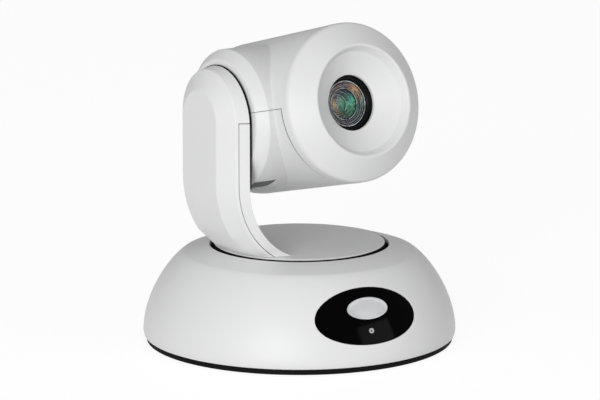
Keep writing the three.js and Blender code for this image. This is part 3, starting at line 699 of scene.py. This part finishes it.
# ---------------------------------------------------------------- turntable and arm
def turntable():
    """The white disc, and a dark ring in the gap round it: painted shade for the shadow in that gap."""
    lip = 0.5 * MM
    neck = DISC_R - 1.5 * MM
    inner = DISC_R - 2.2 * MM
    under = DISC_TOP - 2.4 * MM
    outline = rounded([
        (0, DISC_TOP),
        (DISC_R, DISC_TOP, 0.25 * MM),
        (DISC_R, DISC_TOP - lip, 0.15 * MM),
        (neck, DISC_TOP - lip - 0.2 * MM),
        (neck, DISC_LOW.z),
        (inner, DISC_LOW.z),
        (inner, under),
        (0, under),
    ])
    add(turned("turntable_disc", outline, PAN), "white", "yoke", "turntable")
    # painted shade: a black ring under the disc's lip, standing for the shadow in the gap round the disc
    shade_in, shade_out = neck + 0.1 * MM, DISC_R + 0.4 * MM
    shade_low, shade_high = DISC_LOW.z + 0.6 * MM, DISC_TOP - 1.1 * MM
    gap_shade = rounded([
        (shade_in, shade_low),
        (shade_out, shade_low, 0.3 * MM),
        (shade_out, shade_high, 0.4 * MM),
        (shade_in, shade_high),
    ])
    add(turned("turntable_gap_shade", gap_shade, PAN), "rubber", "yoke")


AXLE_ROOM_R = 8.5 * MM  # the hole round the tilt axle in the arm and in the hub
BEND_R = 44 * MM
BEND_X = ARM_INNER + BEND_R
BEND_Z = 98 * MM
BEND_SWEEP = math.radians(74)
BEND_STEPS = 22
FOOT_THINNING = 0.2  # share of its thickness that the foot loses as it curves in
ARM_ROWS = [
    # depth from the inner face, half width, rise of the round top's centre above the tilt axis
    (0.0, 31 * MM, 0.5 * MM),
    (7 * MM, 26.5 * MM, 3.4 * MM),
    (ARM_DEPTH, 16.8 * MM, 1.9 * MM),
]


def arm_bar(name, rows, top_steps=40):
    """A bar with a round top whose foot curves in towards the turntable, drawn row by row and bridged."""
    loops = []
    for number, (depth, half, rise) in enumerate(rows):
        x = ARM_INNER - depth
        points = [Vector((x, -half, BEND_Z))]
        for step in range(top_steps + 1):
            turn = math.pi * step / top_steps
            points.append(Vector((x, -half * math.cos(turn), TILT_Z + rise + half * math.sin(turn))))
        points.append(Vector((x, half, BEND_Z)))
        loop = draw(f"{name}_{number}", points + [points[0].copy()])
        bpy.ops.mesh.select_all(action="SELECT")
        bpy.ops.mesh.remove_doubles(threshold=1e-8)
        if number in (0, len(rows) - 1):
            bpy.ops.mesh.edge_face_add()
        bpy.ops.object.mode_set(mode="OBJECT")
        loops.append(settle(loop))
    deselect()
    for loop in loops:
        loop.select_set(True)
    bpy.context.view_layer.objects.active = loops[0]
    bpy.ops.object.join()
    piece = bpy.context.object
    piece.name = name
    bpy.ops.object.mode_set(mode="EDIT")
    for first, second in zip(rows, rows[1:]):
        select_where(piece, "EDGE", lambda points: any(
            all(abs(p.x - (ARM_INNER - row[0])) < 1e-6 for p in points) for row in (first, second)
        ))
        bpy.ops.mesh.bridge_edge_loops()
    tidy_faces()
    select_where(piece, "FACE", lambda points: all(abs(p.z - BEND_Z) < 1e-6 for p in points))
    bend = {"center": (BEND_X, 0, BEND_Z), "axis": (0, 1, 0)}
    bpy.ops.mesh.spin(steps=BEND_STEPS, angle=BEND_SWEEP, **bend)
    tidy_faces()
    bpy.ops.object.mode_set(mode="OBJECT")
    for vertex in piece.data.vertices:
        if vertex.co.z < BEND_Z:
            spoke = Vector((vertex.co.x - BEND_X, vertex.co.z - BEND_Z))
            turn = math.atan2(-spoke.y, -spoke.x)
            radius = BEND_R + (spoke.length - BEND_R) * (1 - FOOT_THINNING * math.sin(turn))
            vertex.co.x = BEND_X - radius * math.cos(turn)
            vertex.co.z = BEND_Z - radius * math.sin(turn)
    return piece


def foot_room():
    """The space over the turntable that the arm's foot may fill."""
    flare, rise, top = 120 * MM, 27 * MM, 220 * MM
    outline = [
        (0, DISC_TOP + GAP),
        (DISC_R + GAP, DISC_TOP + GAP),
        (DISC_R + rise, DISC_TOP + rise),
        (flare, DISC_TOP + rise),
        (flare, top),
        (0, top),
    ]
    return turned("foot_room", outline, PAN)


def inner_layer(depth, top):
    """The arm's inner layer up to a height: the cover's shape, or the room for it."""
    half = 40 * MM
    bar = arm_bar("layer", [(-3 * MM, half, 0), (depth, half, 0)], 12)
    return boolean(bar, "DIFFERENCE", block("layer_top", (-FAR, -FAR / 2, top), (FAR, FAR / 2, 2 * FAR)))


def arm():
    """The arm in two pieces along its seam: an outer shell and an inner cover."""
    whole = arm_bar("arm_whole", ARM_ROWS)
    soften(whole, 0.6 * MM, 4, 12)
    boolean(whole, "INTERSECT", foot_room())
    axle_hole = cylinder("axle_hole", AXLE_ROOM_R, -62 * MM, -50 * MM, BASE)
    axle_hole.data.transform(Matrix.Translation((0, 0, TILT_Z)) @ Matrix.Rotation(math.pi / 2, 4, "Y"))
    boolean(whole, "DIFFERENCE", axle_hole)

    cover_depth, cover_top, seam = 5 * MM, COVER_TOP, 0.5 * MM
    cover = copy_of(whole, "arm_inner_cover")
    boolean(cover, "INTERSECT", inner_layer(cover_depth, cover_top))
    boolean(whole, "DIFFERENCE", inner_layer(cover_depth + seam, cover_top + seam))
    whole.name = "arm_outer_shell"
    for piece, node in ((whole, "arm_shell"), (cover, "arm_cover")):
        activate(piece)
        piece.data.transform(PAN)
        finish_with(smooth(piece, 28), "WEIGHTED_NORMAL", keep_sharp=True)
        add(piece, "white", "yoke", node)


def arm_plate():
    """Painted shade: a thin dark plate on the arm's inner face, standing for the shadow in the gap between
    the arm and the head.
    """
    _, half, rise = ARM_ROWS[0]
    half += 0.3 * MM
    foot, thickness, steps = -34 * MM, 0.35 * MM, 48
    arc = [math.pi * step / steps for step in range(steps + 1)]
    outline = [(half * math.cos(turn), rise + half * math.sin(turn)) for turn in arc]
    outline += [(-half, foot), (half, foot)]
    face = PAN @ Vector((ARM_INNER + 0.15 * MM, 0, TILT_Z))
    plate = extruded("arm_gap_shade_plate", outline, thickness, place_of(SIDE.cross(UP), UP, SIDE, face))
    boolean(plate, "DIFFERENCE", cylinder("axle_room", AXLE_ROOM_R, -60 * MM, -50 * MM, HUB))
    add(smooth(plate, 30), "rubber", "yoke")


# ---------------------------------------------------------------- head
HEAD_WALL = 2.2 * MM
HUB_WALL = 1.9 * MM
HUB_R = 40 * MM


def housing():
    """The drum and its hub as one solid, before the seam is cut."""
    front = HEAD_FRONT + GAP - 0.03 * MM
    drum = rounded([
        (0, HEAD_BACK),
        (24 * MM, HEAD_BACK + 1.6 * MM),
        (36 * MM, -49.8 * MM),
        (41.2 * MM, -46.6 * MM),
        (HEAD_R - 0.6 * MM, -42 * MM, 3 * MM),
        (HEAD_R + 0.3 * MM, front, 0.08 * MM),
        (HEAD_R - 1 * MM, front),
        (0, front),
    ])
    hub = rounded([
        (0, HUB_END),
        (34.6 * MM, HUB_END, 1.2 * MM),
        (HUB_R, -47.8 * MM, 1.6 * MM),
        (HUB_R, -5 * MM),
        (0, -5 * MM),
    ])
    return boolean(turned("housing", drum, LENS), "UNION", turned("hub", hub, HUB))


def hollow_out(skin):
    """Takes the room inside the drum, the hub and round the axle out of the solid."""
    drum = [
        (0, HEAD_BACK + HEAD_WALL),
        (36 * MM, -47.4 * MM),
        (HEAD_R - 0.6 * MM - HEAD_WALL, -41 * MM),
        (HEAD_R + 0.3 * MM - HEAD_WALL, HEAD_FRONT + 20 * MM),
        (0, HEAD_FRONT + 20 * MM),
    ]
    hub = [
        (0, HUB_END + HUB_WALL),
        (33.6 * MM, HUB_END + HUB_WALL),
        (HUB_R - HEAD_WALL, -46.6 * MM),
        (HUB_R - HEAD_WALL, -4 * MM),
        (0, -4 * MM),
    ]
    tools = [turned("hollow", drum, LENS), turned("hub_hollow", hub, HUB)]
    tools.append(cylinder("axle_room", AXLE_ROOM_R, -60 * MM, -45 * MM, HUB))
    return boolean(skin, "DIFFERENCE", *tools)


def square_ring(name, inner, outer, low, high, place):
    """A ring with a rectangular section."""
    return turned(name, [(inner, low), (outer, low), (outer, high), (inner, high)], place)


def hub_patch(name, inner, outer, grow):
    """A piece of a ring round the tilt axis, at the hub's underside."""
    low, high = -47.4 * MM - grow, -32 * MM + grow
    ring = square_ring(name, inner, outer, low, high, HUB)
    corner_low = (low - GAP, -15.5 * MM - grow, -50 * MM)
    corner_high = (high + GAP, 20 * MM + grow, -20 * MM)
    return boolean(ring, "INTERSECT", block("patch_room", corner_low, corner_high, HEAD))


def half(name, skin, keep_up, node):
    """One half of the housing: the hollowed skin cut at the seam."""
    piece = copy_of(skin, name)
    if keep_up:
        away = block("away", (-FAR, -FAR, -FAR), (FAR, FAR, SEAM_Z + GAP / 2), HEAD)
    else:
        away = block("away", (-FAR, -FAR, SEAM_Z - GAP / 2), (FAR, FAR, FAR), HEAD)
    boolean(piece, "DIFFERENCE", away)
    return add(smooth(piece, 28), "white", "head", node)


def head():
    """Both halves of the housing, and the dark pieces of painted shade let into the lower one."""
    skin = hollow_out(housing())
    lower = half("lower_housing", skin, False, "head_lower_shell")
    span = 4 * MM
    rim_low, rim_high = HEAD_FRONT - 0.75 * MM, HEAD_FRONT + 2 * MM
    rim_room = square_ring("rim_room", HEAD_R - span, HEAD_R + span, rim_low, rim_high, LENS)
    boolean(lower, "DIFFERENCE", rim_room)
    for number in (1, 2):
        middle = centre_of(*reach(f"head_screw_{number}", HEAD))
        place = HEAD @ Matrix.Translation((middle.x, middle.y, 0))
        boolean(lower, "DIFFERENCE", cylinder("screw_room", 2.7 * MM, -50 * MM, -34 * MM, place, 32))

    # painted shade: a dark ring in the lower half of the seam behind the bezel, standing for the shadow in
    # that seam
    inner, outer = HEAD_R - 2.1 * MM, HEAD_R - 0.1 * MM
    low, high = HEAD_FRONT - 0.7 * MM, HEAD_FRONT + 0.2 * MM
    seam_shade = square_ring("bezel_seam_shade", inner, outer, low, high, LENS)
    boolean(seam_shade, "DIFFERENCE", block("away", (-FAR, -FAR, SEAM_Z - GAP), (FAR, FAR, FAR), HEAD))
    add(smooth(seam_shade, 28), "rubber", "head")

    # painted shade: a dark grey pad let into the hub's underside, standing for the shadow under the hub
    boolean(lower, "DIFFERENCE", hub_patch("pad_pocket", 38.4 * MM, 42 * MM, GAP))
    smooth(lower, 28)
    pad = hub_patch("hub_shade_pad", 38.7 * MM, 39.5 * MM, 0)
    add(smooth(pad, 28), "painted_shade_pad", "head")
    half("upper_housing", skin, True, "head_upper_shell")
    bpy.data.objects.remove(skin)


def bezel():
    """The dished ring round the lens."""
    rear = HEAD_FRONT + GAP
    outline = rounded([
        (HEAD_R - 4.6 * MM, 43 * MM),
        (HEAD_R - 2.5 * MM, 43 * MM),
        (HEAD_R - 2.5 * MM, rear),
        (BEZEL_R, rear, 0.08 * MM),
        (BEZEL_R - 0.1 * MM, 54.4 * MM, 4 * MM),
        (30.9 * MM, CREST_S + 0.35 * MM, 1.3 * MM),
        (28.1 * MM, 59.3 * MM, 1.6 * MM),
        (15.65 * MM, 51.7 * MM, 0.35 * MM),
        (15.65 * MM, 49.9 * MM),
        (27.4 * MM, 56.9 * MM),
        (31.2 * MM, 60.4 * MM),
        (37.2 * MM, 58 * MM),
        (41 * MM, 54.2 * MM),
        (HEAD_R - 2.2 * MM, 50.5 * MM),
        (HEAD_R - 4.6 * MM, 48 * MM),
    ], 8)
    add(turned("bezel_ring", outline, LENS), "white", "head", "front_bezel")


# ---------------------------------------------------------------- lens
def coated_glass():
    """Clear front glass whose faint colour, green in the middle to plum at the rim, is painted coating
    reflection.
    """
    f = Finish("coated_glass")
    outwards = f.distance(LENS @ Vector((0, 0, 46 * MM))) + (f.noise(120, 2) - 0.5) * (3 * MM)
    share = f.above(outwards, 0.0, 13 * MM)
    # painted reflection: the green-to-plum tint stands for the coating's coloured reflections
    colour = f.ramp(share, (0.0, (0.02, 0.07, 0.06)), (0.6, (0.05, 0.05, 0.05)), (1.0, (0.08, 0.04, 0.08)))
    smears = f.noise(90, 4, 0.6)
    coat = {"Alpha": 0.06, "Coat_Weight": 0.5, "Coat_Roughness": 0.02}
    return f.done(colour, 0.03 + 0.05 * smears, height=smears, depth=0.000002, **coat)


def glass_with_painted_reflections(name, *stops):
    """Coated glass with painted reflections: a tint that changes round the lens, anticlockwise from its left,
    and fine bright rings.
    """
    f = Finish(name)
    inside = LENS.inverted()
    local = f.stretched((1, 1, 1), inside.to_euler(), inside.translation)
    turn = f.node("ShaderNodeTexGradient", {"gradient_type": "RADIAL"}, {"Vector": local}, output="Fac")
    mottled = turn + (f.noise(900, 3) - 0.5) * 0.12
    round_axis = {"wave_type": "RINGS", "rings_direction": "Z"}
    rings = f.node("ShaderNodeTexWave", round_axis, {"Vector": local, "Scale": 300.0}, output="Fac")
    blotches = f.above(f.noise(650, 3, 0.6), 0.42, 0.62)
    # painted reflection: the colour round the lens stands for the coating's coloured reflections
    tint = f.mix(0.75 * blotches, f.ramp(mottled, *stops), (0.004, 0.005, 0.006))
    # painted reflections: fine bright rings standing for glints off the ring edges
    painted_ring_reflections = f.above(rings, 0.86, 1.0) * (0.15 + 0.6 * f.above(f.noise(500, 2), 0.45, 0.7))
    colour = f.mix(painted_ring_reflections, tint, (0.60, 0.72, 0.68))
    coat = {"Specular_IOR_Level": 0.3, "Coat_Weight": 0.5, "Coat_Roughness": 0.03}
    return f.done(colour, 0.12 + 0.15 * painted_ring_reflections, height=rings, depth=0.00001, **coat)


def ring_edge():
    """The polished edge of a retaining ring, brighter and duller in turns."""
    f = Finish("ring_edge")
    worn = f.noise(260, 3, 0.6)
    colour = f.mix(f.above(worn, 0.35, 0.65), (0.16, 0.17, 0.18), (0.74, 0.80, 0.78))
    return f.done(colour, 0.25 + 0.2 * worn, 0.4, height=worn, depth=0.00001)


def rim(name, radius, width, rear, front, finish, body):
    """A thin flat ring. Sizes and places along the lens are in millimetres."""
    outline = rounded([
        ((radius - width) * MM, rear * MM),
        (radius * MM, rear * MM),
        (radius * MM, front * MM, 0.08 * MM),
        ((radius - width) * MM, front * MM, 0.08 * MM),
    ], 2)
    return add(turned(name, outline, LENS, SMALL), finish, body)


def funnel(name, wide, narrow, wall, finish, body):
    """A thin hollow cone between two rings of (radius, place along the lens), in millimetres."""
    (wide_r, wide_s), (narrow_r, narrow_s) = wide, narrow
    outline = []
    steps = 8
    for step in range(steps + 1):
        share = step / steps
        sag = 0.35 * math.sin(math.pi * share)
        radius = narrow_r + (wide_r - narrow_r) * share
        depth = narrow_s + (wide_s - narrow_s) * share - sag
        outline.append((radius * MM, depth * MM))
    outline.append((wide_r * MM, (wide_s - wall) * MM))
    outline.append(((narrow_r + 0.2) * MM, (narrow_s - wall) * MM))
    outline.append((narrow_r * MM, (narrow_s - wall) * MM))
    return add(turned(name, outline, LENS, SMALL), finish, body)


def element(name, radius, rear, front, bulge, hollow, finish, body, *nodes):
    """A lens element, in millimetres: its front bulges, and its rear is hollowed."""
    steps = 10
    shares = [step / steps for step in range(steps + 1)]
    outline = [(radius * share * MM, (rear + hollow * (1 - share * share)) * MM) for share in shares]
    outline += [(radius * share * MM, (front + bulge * (1 - share * share)) * MM) for share in shares[::-1]]
    return add(turned(name, outline, LENS, SMALL), finish, body, *nodes)


# painted reflections round the lens, given as tints: (share of a turn, colour)
OUTER_PAINTED_REFLECTIONS = (
    (0.00, (0.26, 0.23, 0.28)), (0.12, (0.05, 0.04, 0.07)), (0.25, (0.05, 0.03, 0.07)),
    (0.36, (0.03, 0.09, 0.09)), (0.48, (0.04, 0.12, 0.10)), (0.56, (0.26, 0.15, 0.06)),
    # painted highlight: the bright amber stop at 0.62, at the lens's upper right
    (0.62, (0.72, 0.34, 0.12)), (0.69, (0.14, 0.10, 0.07)), (0.80, (0.16, 0.06, 0.12)),
    (1.00, (0.26, 0.23, 0.28)),
)
INNER_PAINTED_REFLECTIONS = (
    (0.00, (0.22, 0.20, 0.28)), (0.14, (0.01, 0.01, 0.012)), (0.27, (0.02, 0.03, 0.03)),
    (0.37, (0.05, 0.30, 0.17)), (0.50, (0.16, 0.80, 0.54)), (0.60, (0.06, 0.30, 0.25)),
    (0.70, (0.10, 0.06, 0.12)), (0.84, (0.06, 0.16, 0.17)), (1.00, (0.22, 0.20, 0.28)),
)
DEEP_PAINTED_REFLECTIONS = (
    (0.00, (0.85, 0.52, 0.10)), (0.14, (0.10, 0.07, 0.02)), (0.26, (0.30, 0.18, 0.05)),
    (0.36, (0.08, 0.34, 0.20)), (0.50, (0.20, 0.82, 0.58)), (0.62, (0.30, 0.58, 0.30)),
    (0.72, (0.36, 0.36, 0.56)), (0.86, (0.50, 0.36, 0.16)), (1.00, (0.85, 0.52, 0.10)),
)


def lens_finishes():
    """The finishes that are centred on the lens."""
    FINISHES["front_glass"] = coated_glass()
    FINISHES["outer_glass"] = glass_with_painted_reflections("outer_glass", *OUTER_PAINTED_REFLECTIONS)
    FINISHES["inner_glass"] = glass_with_painted_reflections("inner_glass", *INNER_PAINTED_REFLECTIONS)
    FINISHES["deep_glass"] = glass_with_painted_reflections("deep_glass", *DEEP_PAINTED_REFLECTIONS)
    FINISHES["ring_edge"] = ring_edge()


def lens():
    """The trim ring, the cell and the elements that show through the bezel."""
    lens_finishes()
    trim = rounded([
        (13.2 * MM, 46.8 * MM),
        (17.2 * MM, 46.8 * MM),
        (17.2 * MM, 49.5 * MM),
        (15.2 * MM, 49.5 * MM, 0.2 * MM),
        (14.6 * MM, 48.3 * MM, 0.2 * MM),
        (13.9 * MM, 48.3 * MM, 0.2 * MM),
        (13.2 * MM, 47.5 * MM),
    ], 3)
    add(turned("trim_ring", trim, LENS, SMALL), "lens_black", "head", "lens_trim_ring")

    # the front cell, stepped inside like a stack of spacers
    cell = [(14.3 * MM, 38 * MM), (14.3 * MM, 46.3 * MM), (12.9 * MM, 46.3 * MM)]
    for step in range(4):
        low = 45.6 - step * 1.7
        cell.append(((12.9 - 0.1 * step) * MM, low * MM))
        cell.append(((12.7 - 0.1 * step) * MM, (low - 0.5) * MM))
    cell.append((12.4 * MM, 38 * MM))
    add(turned("front_lens_cell", cell, LENS, SMALL), "lens_black", "head", "front_cell")

    # fixed front glass: a clear element, and a tinted one behind it
    element("front_element", 12.2, 46.1, 46.4, 1.4, 1.2, "front_glass", "head", "front_lens")
    rim("front_retainer", 12.85, 0.4, 46.5, 47.0, "ring_edge", "head")
    funnel("outer_element", (12.3, 45.9), (8.8, 44.2), 0.6, "outer_glass", "head")
    rim("outer_rim", 8.95, 0.32, 44.2, 44.6, "ring_edge", "head")
    rim("middle_spacer", 11.0, 0.2, 45.25, 45.6, "ring_edge", "head")

    # the zoom group
    funnel("inner_element", (8.4, 43.4), (5.9, 37.8), 0.7, "inner_glass", "zoom_group")
    rim("inner_rim", 6.05, 0.32, 37.8, 38.2, "ring_edge", "zoom_group")
    rim("middle_rim", 7.3, 0.2, 40.7, 41.05, "ring_edge", "zoom_group")
    element("zoom_element", 5.8, 36.3, 36.9, 0.8, -0.4, "deep_glass", "zoom_group", "zoom_lens")
    rim("heart_rim", 3.4, 0.18, 37.3, 37.6, "ring_edge", "zoom_group")


# ---------------------------------------------------------------- everything carried over from the CAD
CARRIED_OVER = {
    "black": "ir_receiver bottom_plate rear_panel power_inlet selector_case camera_block",
    "lens_black": "lens_barrel zoom_cell focus_cell",
    "white": "selector_dial",
    "window": "image_sensor",
    "steel": "hdmi_port usb_port network_port control_port pan_bearing tilt_bearing tilt_axle"
             " arm_bracket guide_rod_1 guide_rod_2 arm_screw_1 arm_screw_2",
    "alloy": "pan_deck pan_spindle head_frame heat_sink",
    "board": "main_board sensor_board video_board",
    "gear": "pan_gear tilt_gear",
    "brass": "pan_pinion tilt_pinion",
    "motor": "pan_motor tilt_motor zoom_motor focus_motor",
    "deep_glass": "focus_lens",
}
EDGED = "rear_panel hdmi_port usb_port network_port control_port power_inlet selector_case".split()


def carried_over():
    """Gives the CAD nodes that stay their finishes, and rounds the edges of those in the rear bay."""
    for finish, names in CARRIED_OVER.items():
        for name in names.split():
            node = frame["nodes"][name]
            paint(node, finish)
            weld = node.modifiers.new("Weld", "WELD")
            weld.merge_threshold = WELD_GAP
            if name in EDGED:
                edge = node.modifiers.new("Edge", "BEVEL")
                edge.width = 0.25 * MM
                edge.segments = 2
                edge.limit_method = "ANGLE"
                edge.angle_limit = math.radians(40)


# ---------------------------------------------------------------- studio
CAMERA_TURN = math.radians(-27.58)  # from straight in front
CAMERA_RISE = math.radians(11.53)  # above level
CAMERA_DISTANCE = 1.8
CAMERA_LENS = 188.36  # mm, on a sensor 36 mm wide
CAMERA_AIM_Z = 80.6 * MM
CAMERA_AIM_RIGHT = 0.32 * MM


def pale_room():
    """A white room: a soft light on the object, and a clean backdrop behind it."""
    world = bpy.data.worlds.new("pale_room")
    world.use_nodes = True
    tree = world.node_tree
    ray = tree.nodes.new("ShaderNodeLightPath")
    strength = tree.nodes.new("ShaderNodeMapRange")
    strength.inputs["To Min"].default_value = 0.36
    strength.inputs["To Max"].default_value = 0.98
    tree.links.new(ray.outputs["Is Camera Ray"], strength.inputs["Value"])
    background = tree.nodes["Background"]
    background.inputs["Color"].default_value = (1, 1, 1, 1)
    tree.links.new(strength.outputs["Result"], background.inputs["Strength"])
    return world


def studio():
    """The camera, the floor and the soft lights."""
    scene = bpy.context.scene
    turn, rise = CAMERA_TURN, CAMERA_RISE
    back = Vector((math.sin(turn) * math.cos(rise), -math.cos(turn) * math.cos(rise), math.sin(rise)))
    right = Vector((math.cos(turn), math.sin(turn), 0))
    aim = Vector((0, 0, CAMERA_AIM_Z)) + right * CAMERA_AIM_RIGHT
    data = bpy.data.cameras.new("camera")
    data.sensor_width = 36
    data.lens = CAMERA_LENS
    data.clip_end = 60
    camera = bpy.data.objects.new("camera", data)
    camera.matrix_world = place_of(right, back.cross(right), back, aim + back * CAMERA_DISTANCE)
    scene.collection.objects.link(camera)
    scene.camera = camera

    deselect()
    bpy.ops.mesh.primitive_circle_add(vertices=64, radius=8, fill_type="NGON")
    floor = bpy.context.object
    floor.name = "floor"
    f = Finish("pale_floor")
    mottle = f.mix(f.noise(0.8, 2), (0.17, 0.17, 0.17), (0.19, 0.19, 0.19))
    glow = {"Emission_Color": (1, 1, 1, 1), "Emission_Strength": 0.87}
    floor.data.materials.append(f.done(mottle, 0.9, **glow))
    floor.visible_diffuse = False

    def softbox(name, where, size, power, target=Vector((0, 0, 0.09))):
        """A soft square light, facing the middle of the object."""
        light = bpy.data.lights.new(name, "AREA")
        light.shape = "RECTANGLE"
        light.size, light.size_y = size
        light.energy = power
        lamp = bpy.data.objects.new(name, light)
        lamp.location = where
        lamp.rotation_euler = (Vector(where) - target).to_track_quat("Z", "Y").to_euler()
        scene.collection.objects.link(lamp)

    softbox("low_key", back * 2.5 - right * 0.5 - UP * 0.42, (1.1, 1.1), 18.5)
    softbox("level_key", back * 2.5 - right * 0.9 + UP * 0.1, (1.1, 1.1), 26)
    softbox("left", back * 1.2 - right * 2.0 + UP * 0.2, (1.1, 1.1), 2.4)
    softbox("right", back * 1.2 + right * 2.0 + UP * 0.3, (1.1, 1.1), 8)
    softbox("top", back * 0.8 + UP * 1.9, (1.2, 1.2), 1.5)
    scene.world = pale_room()
    scene.view_settings.view_transform = "Standard"
    scene.view_settings.look = "None"


studio()
base()
underside()
screws()
contact_rows()
tongues()
turntable()
arm()
arm_plate()
head()
bezel()
lens()
carried_over()
